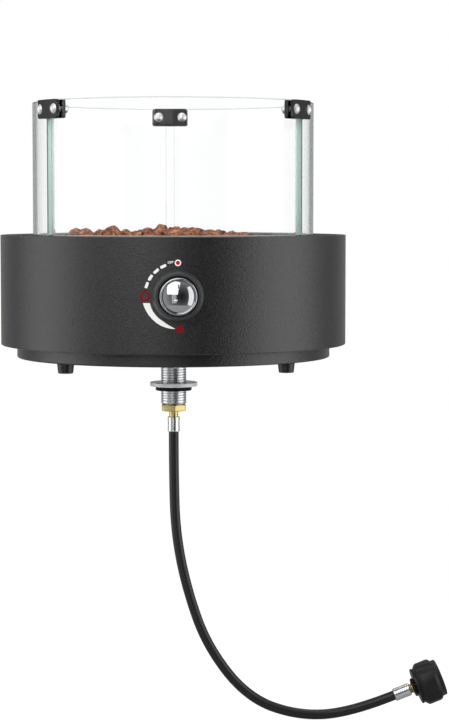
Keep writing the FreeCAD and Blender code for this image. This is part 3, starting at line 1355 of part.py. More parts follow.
def connector_frame():
    """Return the place, axis and turn that bring Z to the hose's end, pointing out of it."""
    end = FreeCAD.Vector(*HOSE_ROUTE[-1])
    ahead = end - FreeCAD.Vector(*HOSE_ROUTE[-2])
    turn = FreeCAD.Rotation(FreeCAD.Vector(0, 0, 1), ahead)
    place = tuple(str(part) for part in HOSE_ROUTE[-1])
    return place, tuple(turn.Axis), str(math.degrees(turn.Angle))


def cylinder_nipple():
    """Brass nipple: barb, ringed neck, hexagon, the nut's journal and the sealing probe."""
    body = new_body("cylinder_nipple", *connector_frame())
    hex_start = "(end_ferrule_length + end_neck_length)"
    journal = f"({hex_start} + end_hex_length)"
    flange = f"({NUT_START} + nut_rear_wall + nut_end_gap)"
    probe = f"({flange} + probe_flange_length)"
    tip = f"({probe} + probe_length)"
    groove_end = f"({hex_start} - neck_groove_setback)"
    groove_start = f"({groove_end} - neck_groove_width)"
    groove_floor = "end_neck_radius - neck_groove_depth"
    revolve(body, [
        ("gas_way", "1"), ("barb_radius", "1"), ("barb_radius", "end_ferrule_length"),
        ("end_neck_radius", "end_ferrule_length"), ("end_neck_radius", groove_start),
        (groove_floor, f"{groove_start} + neck_groove_slope"),
        (groove_floor, f"{groove_end} - neck_groove_slope"), ("end_neck_radius", groove_end),
        ("end_neck_radius", f"{hex_start} + 1"), ("shank_radius", f"{hex_start} + 1"),
        ("shank_radius", flange), ("probe_flange_radius", flange), ("probe_flange_radius", probe),
        ("probe_radius", probe), ("probe_radius", f"{tip} - probe_nose"),
        ("gas_way + 1", tip), ("gas_way", tip),
    ])
    pad(body, outline(body, "XY_Plane", hexagon("end_hex_width", END_HEX_TURN)),
        "end_hex_length", hex_start)
    drill(body, "gas_way", "end_hex_length * 3", ("0", "0", f"{journal} - end_hex_length * 2"))
    return keep(body, "cylinder_nipple")


def nipple_seal():
    """Rubber ring on the probe that seals in the cylinder valve."""
    body = new_body("nipple_seal", *connector_frame())
    probe = f"({NUT_START} + nut_rear_wall + nut_end_gap + probe_flange_length)"
    start = f"({probe} + probe_length / 3)"
    outer = "probe_radius + seal_wire"
    revolve(body, [
        ("probe_radius + running_gap / 4", start), (f"{outer} - 0.4", start),
        (outer, f"{start} + 0.4"), (outer, f"{start} + seal_wire * 1.5 - 0.4"),
        (f"{outer} - 0.4", f"{start} + seal_wire * 1.5"),
        ("probe_radius + running_gap / 4", f"{start} + seal_wire * 1.5"),
    ])
    return keep(body, "nipple_seal")


def cylinder_nut():
    """Large hand nut for the gas cylinder: round core, four broad raised lobes, wide bore."""
    body = new_body("cylinder_nut", *connector_frame())
    front = f"({NUT_START} + nut_length)"
    floor = f"({NUT_START} + nut_rear_wall)"
    journal = "shank_radius + running_gap"
    revolve(body, [
        (journal, NUT_START), ("nut_rear_radius", NUT_START),
        ("nut_core_radius", f"{NUT_START} + lobe_foot"), ("nut_radius", f"{NUT_START} + lobe_start"),
        ("nut_radius", f"{NUT_START} + lobe_end"), ("nut_core_radius", f"{NUT_START} + lobe_toe"),
        ("nut_rim_radius", f"{front} - nut_mouth_chamfer"),
        ("nut_rim_radius - nut_mouth_chamfer", front), ("nut_bore + nut_mouth_chamfer", front),
        ("nut_bore", f"{front} - nut_mouth_chamfer"), ("nut_bore", floor), (journal, floor),
    ])
    across, along = on_circle("nut_groove_circle", NUT_LOBE_TURN)
    groove = drill(body, "nut_groove_radius", "nut_length * 1.2",
                   (across, along, f"{NUT_START} - nut_length / 10"))
    repeat(body, groove, "nut_lobes")
    return keep(body, "cylinder_nut")


# ---------------------------------------------------------------- whole object

def build():
    """Make every sub-part in the order in which the product is put together."""
    fill_sheet()
    for make in (drum_shell, support_ring, deck_plate, fire_bowl, burner_base, burner_cap,
                 burner_screws, venturi_tube, pilot_bracket, igniter_electrode, thermocouple,
                 lava_rocks, knob_bezel, valve_spacer, valve_screws, valve_bonnet, valve_body,
                 valve_plug, valve_spindle, thrust_washer, push_spring, piezo_igniter, gas_jet,
                 knob_body, knob_cap, glass_clips, base_tray, tray_fasteners, feet, table_stem,
                 stem_nut, clamp_washer, clamp_nut, supply_pipe, inlet_fitting, gas_hose,
                 cylinder_nipple, nipple_seal, cylinder_nut):
        make()
    for label, azimuth in (("glass_front", 0), ("glass_right", 120), ("glass_left", 240)):
        glass_panel(label, azimuth)
    upper_place = ("0", "0", "-stem_reach - inlet_hex_height - inlet_neck_length - ferrule_length")
    ferrule("upper_ferrule", "ferrule", upper_place, (0, 0, 1), "0")
    ferrule("lower_ferrule", "end_ferrule", *connector_frame())
    doc.recompute()


def check():
    """Stop if any feature failed or any sub-part is missing or not a valid solid."""
    for piece in doc.Objects:
        if {"Invalid", "Error"} & set(piece.State):
            raise RuntimeError(f"{piece.Label} failed: {piece.State}")
    for piece in nodes:
        if piece.Shape.isNull() or not piece.Shape.isValid() or not piece.Shape.Solids:
            raise RuntimeError(f"{piece.Label} has no valid solid")


def write():
    """Write each sub-part to its own file."""
    os.makedirs("parts", exist_ok=True)
    for piece in nodes:
        piece.Shape.exportStep(f"parts/{piece.Label}.step")


build()
check()
write()
print(len(nodes), "nodes written")
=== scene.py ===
# %% [markdown]
# # Dressing a tabletop gas fire pit
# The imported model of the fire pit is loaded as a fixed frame, in metres. Its steel, glass and
# brass solids stay where they are, and this lesson gives them their finishes, replaces the pieces
# whose threads, ribs and rough surfaces a plain solid can't show, and lights the whole.

# %% Load the frame
import math

import bpy
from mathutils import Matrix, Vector


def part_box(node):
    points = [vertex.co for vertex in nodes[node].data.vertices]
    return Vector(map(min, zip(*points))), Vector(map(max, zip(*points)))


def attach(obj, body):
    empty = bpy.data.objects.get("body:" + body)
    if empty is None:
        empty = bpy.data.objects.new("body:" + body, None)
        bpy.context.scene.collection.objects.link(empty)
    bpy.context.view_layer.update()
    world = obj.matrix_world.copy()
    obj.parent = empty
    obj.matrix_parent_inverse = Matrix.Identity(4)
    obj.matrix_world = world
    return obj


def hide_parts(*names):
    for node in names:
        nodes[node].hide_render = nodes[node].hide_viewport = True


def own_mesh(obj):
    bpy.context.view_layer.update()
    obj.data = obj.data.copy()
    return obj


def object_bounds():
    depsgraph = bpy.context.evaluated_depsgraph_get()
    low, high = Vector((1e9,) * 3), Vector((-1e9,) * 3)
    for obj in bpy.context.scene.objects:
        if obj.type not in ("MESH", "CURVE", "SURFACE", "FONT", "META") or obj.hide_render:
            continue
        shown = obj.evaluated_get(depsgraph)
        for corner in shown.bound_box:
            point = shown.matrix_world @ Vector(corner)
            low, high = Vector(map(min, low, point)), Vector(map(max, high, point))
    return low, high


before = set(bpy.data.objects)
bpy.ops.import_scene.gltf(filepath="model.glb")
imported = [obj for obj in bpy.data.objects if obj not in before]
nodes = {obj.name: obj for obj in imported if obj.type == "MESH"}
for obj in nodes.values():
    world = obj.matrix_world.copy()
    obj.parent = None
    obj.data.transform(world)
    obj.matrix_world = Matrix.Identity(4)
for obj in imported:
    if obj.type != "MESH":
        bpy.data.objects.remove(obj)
cad_box = [list(corner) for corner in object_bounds()]
print("box of the solids, m:", cad_box)

# %% [markdown]
# ## Camera
# The fire pit is seen from the front, a little from its left, with the eye just above the deck's
# plane, so that the deck shows as a thin line and the stem's washer shows its top. A long lens
# keeps the drum's sides upright. The camera stands still, and the views of other sides move it.

# %% Camera
MM = 0.001
DECK_LEVEL = 144.2 * MM
AXIS_DISTANCE = 2.380
EYE_OVER_DECK = 0.0352
AZIMUTH = math.radians(1.4)
PITCH = math.radians(4.18)
YAW = math.radians(1.358)


def add_object(name, data):
    """Put a new object with the given data into the scene and return it."""
    piece = bpy.data.objects.new(name, data)
    bpy.context.scene.collection.objects.link(piece)
    return piece


camera_data = bpy.data.cameras.new("studio_camera")
camera_data.lens = 107.6
camera_data.sensor_width = 36.0
camera = add_object("studio_camera", camera_data)
camera.location = (-AXIS_DISTANCE * math.sin(AZIMUTH), -AXIS_DISTANCE * math.cos(AZIMUTH),
                   DECK_LEVEL + EYE_OVER_DECK)
camera.rotation_euler = (math.pi / 2 - PITCH, 0, -(AZIMUTH + YAW))
bpy.context.scene.camera = camera
print("camera at", [round(part, 3) for part in camera.location])

# %% [markdown]
# ## Gas hose
# The hose is 11 mm rubber, 0.49 m long. It leaves the stem straight down, swings out in one bow
# under its own stiffness and ends in the cylinder nut. It could be swept from sampled points, but
# a NURBS curve through a few control points gives the smooth, heavy line of real hose.

# %% Gas hose
HOSE_ROUTE = [(0, 0, -74), (0, 0, -126), (2, 0, -188), (14, -1, -250), (37, -3, -316),
              (83, -4, -375), (142, -4, -396), (201, -1.5, -392), (248, 0, -374)]
HOSE_DIAMETER = 11 * MM

line = bpy.data.curves.new("rubber_hose", "CURVE")
line.dimensions = "3D"
spline = line.splines.new("NURBS")
spline.points.add(len(HOSE_ROUTE) - 1)
for point, place in zip(spline.points, HOSE_ROUTE):
    point.co = (*[part * MM for part in place], 1)
spline.order_u = 3
spline.use_endpoint_u = True
spline.resolution_u = 24
line.bevel_depth = HOSE_DIAMETER / 2
line.bevel_resolution = 12
line.use_fill_caps = True
hose = add_object("rubber_hose", line)
print("hose points:", len(HOSE_ROUTE))

# %% [markdown]
# ## Colours and nodes
# Every finish is a small tree of nodes round one shader. Its colours are written as on a screen
# and turned to linear light by one function, and another adds a node with its settings and links.
# The pattern of each finish is laid on the piece's own coordinates, so that it moves with it.

# %% Helpers for finishes
def colour(text):
    """Turn an sRGB hex colour into the linear one that shaders use."""
    parts = [int(text[place:place + 2], 16) / 255 for place in (0, 2, 4)]
    return (*[part / 12.92 if part <= 0.04045 else ((part + 0.055) / 1.055) ** 2.4
              for part in parts], 1.0)


def add_node(tree, kind, settings=None, inputs=None):
    """Add a node with its settings; an input is a number, a colour or another node's output."""
    node = tree.nodes.new(kind)
    for key, setting in (settings or {}).items():
        setattr(node, key, setting)
    for key, given in (inputs or {}).items():
        if isinstance(given, bpy.types.NodeSocket):
            tree.links.new(given, node.inputs[key])
        else:
            node.inputs[key].default_value = given
    return node


def new_finish(name, **inputs):
    """Start a material; return it, its tree, its shader with values set, and the place on it."""
    material = bpy.data.materials.new(name)
    material.use_nodes = True
    tree = material.node_tree
    shader = tree.nodes["Principled BSDF"]
    for key, given in inputs.items():
        shader.inputs[key.replace("_", " ")].default_value = given
    return material, tree, shader, add_node(tree, "ShaderNodeTexCoord").outputs["Object"]


def feed(shader, **outputs):
    """Link the outputs of other nodes into a shader's inputs, named with underscores."""
    for key, output in outputs.items():
        shader.id_data.links.new(output, shader.inputs[key.replace("_", " ")])


def dress(material, *names):
    """Give a material to CAD nodes through their own slots."""
    for name in names:
        for slot in nodes[name].material_slots:
            slot.material = material


def per_mm(size):
    """Return the noise scale whose grain is about the given size in millimetres."""
    return 1 / (size * MM)


print("black iron in linear light:", [round(part, 4) for part in colour("2b2b2c")])

# %% [markdown]
# ## Powder coat
# The drum, its deck and the tray are sheet steel with a fine-textured black powder coat: a sandy,
# matt skin that sparkles a little where light grazes it. One noise of grit raises the surface and
# flecks its colour, and a broad one varies the gloss. The real grit is about 0.5 mm; it is drawn
# at 2 mm, the least that shows. The deck is seen almost edge on, and its coat is a copy without
# gloss in a lighter grey, which is a painted sheen.

# %% Powder coat
powder_coat, tree, shader, place = new_finish("textured_powder_coat", Specular_IOR_Level=0.65)
grit = add_node(tree, "ShaderNodeTexNoise", None,
                {"Vector": place, "Scale": per_mm(2.0), "Detail": 3.0, "Roughness": 0.75})
cloud = add_node(tree, "ShaderNodeTexNoise", None,
                 {"Vector": place, "Scale": per_mm(60), "Detail": 2.0})
speckle = add_node(tree, "ShaderNodeMapRange", None,
                   {"Value": grit.outputs["Fac"], "From Min": 0.35, "From Max": 0.65})
tint = add_node(tree, "ShaderNodeMixRGB", None,
                {"Fac": speckle.outputs["Result"], "Color1": colour("080809"),
                 "Color2": colour("202021")})
bump = add_node(tree, "ShaderNodeBump", None,
                {"Height": grit.outputs["Fac"], "Strength": 0.55, "Distance": 0.0007})
gloss = add_node(tree, "ShaderNodeMapRange", None,
                 {"Value": cloud.outputs["Fac"], "To Min": 0.27, "To Max": 0.33})
feed(shader, Base_Color=tint.outputs["Color"], Roughness=gloss.outputs["Result"],
     Normal=bump.outputs["Normal"])
dress(powder_coat, "drum_shell", "base_tray", "support_ring")

# Painted sheen: the deck's coat is a lighter grey without gloss, for the sheen of the deck seen
# edge on.
deck_coat = powder_coat.copy()
deck_coat.name = "deck_coat_painted_sheen"
tree = deck_coat.node_tree
tree.nodes["Principled BSDF"].inputs["Specular IOR Level"].default_value = 0.0
painted_sheen_tint = tree.nodes[tint.name]
painted_sheen_tint.inputs["Color1"].default_value = colour("424244")
painted_sheen_tint.inputs["Color2"].default_value = colour("606062")
dress(deck_coat, "deck_plate")
print("powder coat on the drum, deck and tray")

# %% [markdown]
# ## Vitreous enamel
# The bowl is pressed steel under a satin black enamel, fired on, so it has a soft orange-peel
# wave rather than grit. The clip plates carry the same enamel. The wave is about 3 mm long.

# %% Enamel
enamel, tree, shader, place = new_finish("satin_black_enamel", Roughness=0.45,
                                         Specular_IOR_Level=0.35)
wave = add_node(tree, "ShaderNodeTexNoise", None,
                {"Vector": place, "Scale": per_mm(3), "Detail": 1.0})
tint = add_node(tree, "ShaderNodeMixRGB", None,
                {"Fac": wave.outputs["Fac"], "Color1": colour("121213"),
                 "Color2": colour("1A1A1B")})
bump = add_node(tree, "ShaderNodeBump", None,
                {"Height": wave.outputs["Fac"], "Strength": 0.25, "Distance": 0.0002})
feed(shader, Base_Color=tint.outputs["Color"], Normal=bump.outputs["Normal"])
dress(enamel, "fire_bowl", "clip_outer_plates", "clip_inner_plates")
print("enamel on the bowl and clips")

# %% [markdown]
# ## Bare metals
# The bare metals show their own making. The stem and the screws are bright zinc plate over steel,
# whose crystals make a faint mottle. The crimped sleeves are smoother, and the clips' dome nuts
# are satin. The knob's cap is polished chrome, nearly a mirror. The fittings are machined brass,
# and the burner set is brushed stainless steel with a finer, rougher grain. They differ in colour,
# gloss and grain only, so one function builds them. The wide clamp washer sits in the drum's
# shadow, so its zinc is drawn near white and as no metal: painted light that keeps its top light.

# %% Bare metals
def bare_metal(name, dark, light, grain, gloss, relief):
    """Make a metal from two shades, a grain in millimetres, a gloss range and a relief in mm."""
    material, tree, shader, place = new_finish(name, Metallic=1.0)
    mottle = add_node(tree, "ShaderNodeTexNoise", None,
                      {"Vector": place, "Scale": per_mm(grain), "Detail": 4.0})
    tint = add_node(tree, "ShaderNodeMixRGB", None,
                    {"Fac": mottle.outputs["Fac"], "Color1": colour(dark),
                     "Color2": colour(light)})
    shine = add_node(tree, "ShaderNodeMapRange", None,
                     {"Value": mottle.outputs["Fac"], "From Min": 0.3, "From Max": 0.7,
                      "To Min": gloss[0], "To Max": gloss[1]})
    bump = add_node(tree, "ShaderNodeBump", None,
                    {"Height": mottle.outputs["Fac"], "Strength": 0.3,
                     "Distance": relief * MM})
    feed(shader, Base_Color=tint.outputs["Color"], Roughness=shine.outputs["Result"],
         Normal=bump.outputs["Normal"])
    return material


zinc_plate = bare_metal("bright_zinc_plate", "CFD1D3", "DDDFE0", 3.5, (0.28, 0.34), 0.001)
sleeve_zinc = bare_metal("smooth_zinc_plate", "D6D8DA", "E2E4E6", 9, (0.22, 0.26), 0.0002)
chrome = bare_metal("polished_chrome", "AEB0B2", "B4B6B8", 14, (0.04, 0.06), 0.0001)
brass = bare_metal("machined_brass", "B9A768", "DCCE90", 3, (0.3, 0.38), 0.002)
# Painted shadow: the nipple's brass hexagon is drawn near black for the hand nut's shade on it.
hexagon_painted_shadow = bare_metal("brass_painted_shadow", "22231A", "38382A", 2, (0.35, 0.5), 0.01)
stainless = bare_metal("brushed_stainless", "A9A8A4", "C4C3BF", 1.2, (0.26, 0.42), 0.03)
tube_alloy = bare_metal("drawn_aluminium", "C2C4C6", "D6D8DA", 2, (0.25, 0.36), 0.02)
dome_steel = bare_metal("satin_dome_steel", "D2D4D6", "E0E2E4", 3, (0.42, 0.5), 0.001)
# Painted light: the clamp washer is drawn near white and as no metal, so its shaded top shows
# light.
washer_painted_light = bare_metal("washer_zinc_painted_light", "E6E8EA", "F0F1F2", 1.5, (0.2, 0.28), 0.001)
washer_painted_light_shader = washer_painted_light.node_tree.nodes["Principled BSDF"]
washer_painted_light_shader.inputs["Metallic"].default_value = 0.0
washer_painted_light_shader.inputs["Specular IOR Level"].default_value = 1.0
dress(zinc_plate, "burner_screws", "valve_screws", "tray_screws", "tray_spacers", "tray_nuts",
      "foot_screws", "foot_nuts", "stem_nut", "thrust_washer")
dress(washer_painted_light, "clamp_washer")
dress(dome_steel, "clip_screws", "clip_nuts")
dress(brass, "valve_bonnet", "valve_body", "valve_plug", "gas_jet")
dress(stainless, "burner_base", "burner_cap", "venturi_tube", "pilot_bracket", "thermocouple",
      "push_spring", "valve_spindle")
dress(tube_alloy, "supply_pipe")
print("nine bare metals")

# %% [markdown]
# ## Moulded black plastic and rubber
# The hand nut, the knob's hub and the igniter are moulded nylon: black, satin, with the fine spark
# texture of the mould, about 0.4 mm, drawn at 0.9 mm. The bezel is the same black nylon drawn
# greyer and glossier as painted light on its sloped side, and the ring nut under the table is a
# duller acetal. The hose, the feet and the clip pads are rubber, and the hose shows a faint bloom
# along its length.

# %% Plastic and rubber
def moulded_black(name, dark, light, grain, roughness, relief, level=0.5):
    """Make a moulded black from two shades, a texture and relief in mm, and its reflection."""
    material, tree, shader, place = new_finish(name, Roughness=roughness,
                                               Specular_IOR_Level=level)
    spark = add_node(tree, "ShaderNodeTexNoise", None,
                     {"Vector": place, "Scale": per_mm(grain), "Detail": 3.0})
    bloom = add_node(tree, "ShaderNodeTexNoise", None,
                     {"Vector": place, "Scale": per_mm(25), "Detail": 2.0})
    tint = add_node(tree, "ShaderNodeMixRGB", None,
                    {"Fac": bloom.outputs["Fac"], "Color1": colour(dark),
                     "Color2": colour(light)})
    bump = add_node(tree, "ShaderNodeBump", None,
                    {"Height": spark.outputs["Fac"], "Strength": 0.35,
                     "Distance": relief * MM})
    feed(shader, Base_Color=tint.outputs["Color"], Normal=bump.outputs["Normal"])
    return material


nylon = moulded_black("moulded_black_nylon", "111112", "19191A", 0.9, 0.42, 0.06, 0.3)
# Painted light: the bezel is the black nylon drawn greyer, for the light on its cone-shaped side.
bezel_nylon = moulded_black("black_nylon_painted_light", "2A2A2B", "333334", 0.9, 0.38, 0.04, 0.8)
acetal = moulded_black("dull_black_acetal", "060607", "0B0B0C", 0.9, 0.55, 0.04, 0.2)
rubber = moulded_black("black_hose_rubber", "090909", "101010", 1.2, 0.36, 0.05)
dress(nylon, "knob_body", "valve_spacer", "piezo_igniter")
dress(acetal, "clamp_nut")
dress(rubber, "nipple_seal", "clip_pads", "clip_sleeves")
hose.data.materials.append(rubber)
print("nylon, acetal and rubber")

# %% [markdown]
# ## Toughened glass
# The wind guard is 6 mm clear float glass, bent and toughened. Face on it is nearly invisible,
# and its cut edges are ground satin. Float glass has an index of 1.52, and it is drawn with 1.2,
# as a polarising filter leaves it, so that the lamps don't veil the rocks. The ground edges are
# found by their normals: on the faces the normal points away from the guard's axis, and on the
# edges it doesn't.

# %% Ground edges
GROUND_LOW, GROUND_HIGH = 1.2 * MM, 0.9 * MM
GLASS_LOW, GLASS_HIGH = (corner[2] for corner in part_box("glass_front"))
glass, tree, shader, place = new_finish("toughened_clear_glass", IOR=1.2)
flat_place = add_node(tree, "ShaderNodeVectorMath", {"operation": "MULTIPLY"},
                      {0: place, 1: (1, 1, 0)})
outwards = add_node(tree, "ShaderNodeVectorMath", {"operation": "NORMALIZE"},
                    {0: flat_place.outputs["Vector"]})
facing = add_node(tree, "ShaderNodeVectorMath", {"operation": "DOT_PRODUCT"},
                  {0: outwards.outputs["Vector"], 1: place.node.outputs["Normal"]})
along = add_node(tree, "ShaderNodeMath", {"operation": "ABSOLUTE"},
                 {0: facing.outputs["Value"]})
cut_face = add_node(tree, "ShaderNodeMapRange", None,
                    {"Value": along.outputs[0], "From Min": 0.2, "From Max": 0.85,
                     "To Min": 1.0, "To Max": 0.0})
height = add_node(tree, "ShaderNodeSeparateXYZ", None, {"Vector": place})
bottom = add_node(tree, "ShaderNodeMath", {"operation": "LESS_THAN"},
                  {0: height.outputs["Z"], 1: GLASS_LOW + GROUND_LOW})
top = add_node(tree, "ShaderNodeMath", {"operation": "GREATER_THAN"},
               {0: height.outputs["Z"], 1: GLASS_HIGH - GROUND_HIGH})
either = add_node(tree, "ShaderNodeMath", {"operation": "MAXIMUM"},
                  {0: bottom.outputs[0], 1: top.outputs[0]})
clipped = add_node(tree, "ShaderNodeMath", {"operation": "LESS_THAN"},
                   {0: height.outputs["Z"], 1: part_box("clip_outer_plates")[0][2]})
free_cut = add_node(tree, "ShaderNodeMath", {"operation": "MULTIPLY"},
                    {0: cut_face.outputs["Result"], 1: clipped.outputs[0]})
ground = add_node(tree, "ShaderNodeMath", {"operation": "MAXIMUM"},
                  {0: free_cut.outputs[0], 1: either.outputs[0]})
print("glass from", round(GLASS_LOW, 4), "to", round(GLASS_HIGH, 4), "m")

# %% [markdown]
# ### Rim and arris
# Bent glass seen edge on shows, by total reflection inside it, light from darker surroundings;
# here that grey is painted shade in the outer skin's colour, growing as the glass turns edge on.
# Only the outer skin carries it, or each panel would count twice. Along the upright cut edges the
# colour across the 6 mm runs from a grey green that is painted shade, over one white line that is
# a painted highlight on the arris, to the pale teal of the ground edge.

# %% Rim and arris
GLASS_OUTSIDE, GLASS_WALL = 154.3 * MM, 6 * MM


def set_stops(node, first, last, *between):
    """Set a ramp's stops, each a position and a colour, the outer two first."""
    elements = node.color_ramp.elements
    for stop, (position, shade) in zip(elements, (first, last)):
        stop.position, stop.color = position, shade
    for position, shade in between:
        elements.new(position).color = shade


# Painted shade: the outer skin's colour greys where the glass is seen edge on.
graze = add_node(tree, "ShaderNodeLayerWeight", None, {"Blend": 0.5})
rim = add_node(tree, "ShaderNodeValToRGB", None, {"Fac": graze.outputs["Facing"]})
set_stops(rim, (0.54, (1, 1, 1, 1)), (0.775, colour("5E6060")), (0.715, colour("D4D6D6")))
reach = add_node(tree, "ShaderNodeVectorMath", {"operation": "LENGTH"},
                 {0: flat_place.outputs["Vector"]})
across = add_node(tree, "ShaderNodeMapRange", None,
                  {"Value": reach.outputs["Value"], "From Min": GLASS_OUTSIDE - GLASS_WALL,
                   "From Max": GLASS_OUTSIDE})
# Painted highlight and shade on the upright cut edges: one white line, with grey green beside it.
arris = add_node(tree, "ShaderNodeValToRGB", None, {"Fac": across.outputs["Result"]})
set_stops(arris, (0.17, colour("9AB2AA")), (0.36, colour("D4F4E9")), (0.22, (1, 1, 1, 1)),
          (0.31, (1, 1, 1, 1)))
print("glass wall:", GLASS_WALL, "m")

# %% [markdown]
# ### Colour and depth
# The faces let all light through and the ground edges a fifth of it. In the glass's depth a little
# red is absorbed, which gives the green of thick glass.

# %% Colour and depth
skin = add_node(tree, "ShaderNodeMixRGB", None,
                {"Fac": across.outputs["Result"], "Color1": (1, 1, 1, 1),
                 "Color2": rim.outputs["Color"]})
cut_tint = add_node(tree, "ShaderNodeMixRGB", None,
                    {"Fac": either.outputs[0], "Color1": arris.outputs["Color"],
                     "Color2": colour("CDD5D2")})
tint = add_node(tree, "ShaderNodeMixRGB", None,
                {"Fac": ground.outputs[0], "Color1": skin.outputs["Color"],
                 "Color2": cut_tint.outputs["Color"]})
clear = add_node(tree, "ShaderNodeMapRange", None,
                 {"Value": ground.outputs[0], "To Min": 1.0, "To Max": 0.2})
satin = add_node(tree, "ShaderNodeMapRange", None,
                 {"Value": ground.outputs[0], "To Min": 0.0, "To Max": 0.35})
depth = add_node(tree, "ShaderNodeVolumeAbsorption", None,
                 {"Color": colour("E6F6F2"), "Density": 5.0})
feed(shader, Base_Color=tint.outputs["Color"], Roughness=satin.outputs["Result"],
     Transmission_Weight=clear.outputs["Result"])
tree.links.new(depth.outputs["Volume"], tree.nodes["Material Output"].inputs["Volume"])
dress(glass, "glass_front", "glass_left", "glass_right")
print("glass on three panels")

# %% [markdown]
# ## Lava rock and ceramic
# Lava rock is foamed basalt: rust red where it has oxidised, near black in its pores. A noise of
# 11 mm picks the red or brown of each face, and cells of 2.2 mm give the open pores. The flame
# igniter's insulator is glazed porcelain, off-white with a faint speck.

# %% Lava rock and ceramic
lava, tree, shader, place = new_finish("porous_lava_rock", Roughness=0.95,
                                       Specular_IOR_Level=0.2)
patch = add_node(tree, "ShaderNodeTexNoise", None,
                 {"Vector": place, "Scale": per_mm(11), "Detail": 5.0, "Roughness": 0.7})
pores = add_node(tree, "ShaderNodeTexVoronoi", {"feature": "F1"},
                 {"Vector": place, "Scale": per_mm(2.2), "Randomness": 1.0})
tint = add_node(tree, "ShaderNodeValToRGB", None, {"Fac": patch.outputs["Fac"]})
set_stops(tint, (0.36, colour("3A2620")), (0.66, colour("B8916C")), (0.46, colour("84503A")),
          (0.56, colour("AA7050")))
pit = add_node(tree, "ShaderNodeMapRange", None,
               {"Value": pores.outputs["Distance"], "From Min": 0.1, "From Max": 0.45})
shade = add_node(tree, "ShaderNodeMixRGB", None,
                 {"Fac": pit.outputs["Result"], "Color1": colour("1E110D"),
                  "Color2": tint.outputs["Color"]})
bump = add_node(tree, "ShaderNodeBump", None,
                {"Height": pit.outputs["Result"], "Strength": 0.8, "Distance": 0.0012})
feed(shader, Base_Color=shade.outputs["Color"], Normal=bump.outputs["Normal"])

porcelain, tree, shader, place = new_finish("glazed_porcelain", Roughness=0.2)
speck = add_node(tree, "ShaderNodeTexNoise", None, {"Vector": place, "Scale": per_mm(4)})
tint = add_node(tree, "ShaderNodeMixRGB", None,
                {"Fac": speck.outputs["Fac"], "Color1": colour("DDD8CC"),
                 "Color2": colour("EDEAE2")})
feed(shader, Base_Color=tint.outputs["Color"])
dress(porcelain, "igniter_electrode")
print("rock and porcelain")

# %% [markdown]
# ## Tools of the bench
# Every new piece starts from a primitive. A turned piece, such as a ferrule, starts from a plane
# that is merged to one vertex. The vertex is extruded along the profile, the way it is drawn by
# hand, and the line is spun about the axis, as on a lathe. All is deselected first, because the
# loaded solids come in selected.

# %% Select and start
def only(piece):
    """Select one piece alone and make it the active one."""
    bpy.ops.object.select_all(action="DESELECT")
    piece.select_set(True)
    bpy.context.view_layer.objects.active = piece


def start(add, **sizes):
    """Add a primitive with nothing else selected and return its object."""
    bpy.ops.object.select_all(action="DESELECT")
    add(**sizes)
    return bpy.context.object


print("bench clear")

# %% Lathe
def drawn(points):
    """Draw edges through (x, z) points in millimetres and stay in edit mode.

    It starts from a plane that is merged to one vertex, which is then extruded.
    """
    x, z = points[0]
    piece = start(bpy.ops.mesh.primitive_plane_add, size=MM, location=(x * MM, 0, z * MM))
    bpy.ops.object.transform_apply(location=True)
    bpy.ops.object.mode_set(mode="EDIT")
    bpy.ops.mesh.select_mode(type="VERT")
    bpy.ops.mesh.select_all(action="SELECT")
    bpy.ops.mesh.merge(type="CENTER")
    for (x, z), (next_x, next_z) in zip(points, points[1:]):
        step = ((next_x - x) * MM, 0, (next_z - z) * MM)
        bpy.ops.mesh.extrude_vertices_move(TRANSFORM_OT_translate={"value": step})
    return piece


def close_edit():
    """Merge doubles, turn all faces outwards and leave edit mode."""
    bpy.ops.mesh.select_all(action="SELECT")
    bpy.ops.mesh.remove_doubles(threshold=0.002 * MM)
    bpy.ops.mesh.normals_make_consistent(inside=False)
    bpy.ops.object.mode_set(mode="OBJECT")


def turned(points, steps=96):
    """Turn a profile of (radius, height) in millimetres about the Z axis, as on a lathe."""
    piece = drawn(points)
    bpy.ops.mesh.select_all(action="SELECT")
    bpy.ops.mesh.spin(steps=steps, angle=2 * math.pi, center=(0, 0, 0), axis=(0, 0, 1))
    close_edit()
    return piece


def arc(centre, radius, first, last, count):
    """Return points on an arc round (x, z), between two angles in degrees."""
    turns = [math.radians(first + (last - first) * step / count) for step in range(count + 1)]
    return [(centre[0] + radius * math.cos(turn), centre[1] + radius * math.sin(turn))
            for turn in turns]


print("lathe ready")

# %% Last steps of a piece
def finish_piece(piece, name, body, material, smooth=35):
    """Fix a piece's place in its mesh, smooth it, name it, paint it and let it ride."""
    only(piece)
    bpy.ops.object.transform_apply(location=True, rotation=True, scale=True)
    bpy.ops.object.shade_smooth_by_angle(angle=math.radians(smooth))
    piece.name = piece.data.name = name
    piece.data.materials.clear()
    piece.data.materials.append(material)
    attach(piece, body)
    return piece


print("finishing ready")

# %% [markdown]
# ## Knob
# The knob is a chromed cap, pressed from sheet: a plain side, a rolled bead and a low dome behind
# a shallow groove. Polished chrome shows the least flat on its surface, so the cap is turned on
# the lathe from true arcs in 128 steps. The bezel round it is a moulded ring with a cone-shaped
# side.

# %% Knob cap and bezel
KNOB_LEVEL = 84.6
DRUM_RADIUS = 190.0
CROWN_RADIUS, CROWN_RISE = 16.6, 5.5


def face_front(piece):
    """Lay a piece that was turned about Z on the knob's axis, with its top to the front."""
    piece.rotation_euler = (math.pi / 2, 0, 0)
    piece.location = (0, -DRUM_RADIUS * MM, KNOB_LEVEL * MM)


def dome(radius, rise, level, count):
    """Return the arc from a dome's edge up to its top on the axis."""
    ball = (radius ** 2 + rise ** 2) / (2 * rise)
    first = math.degrees(math.acos(radius / ball))
    return arc((0, level + rise - ball), ball, first, 90, count)


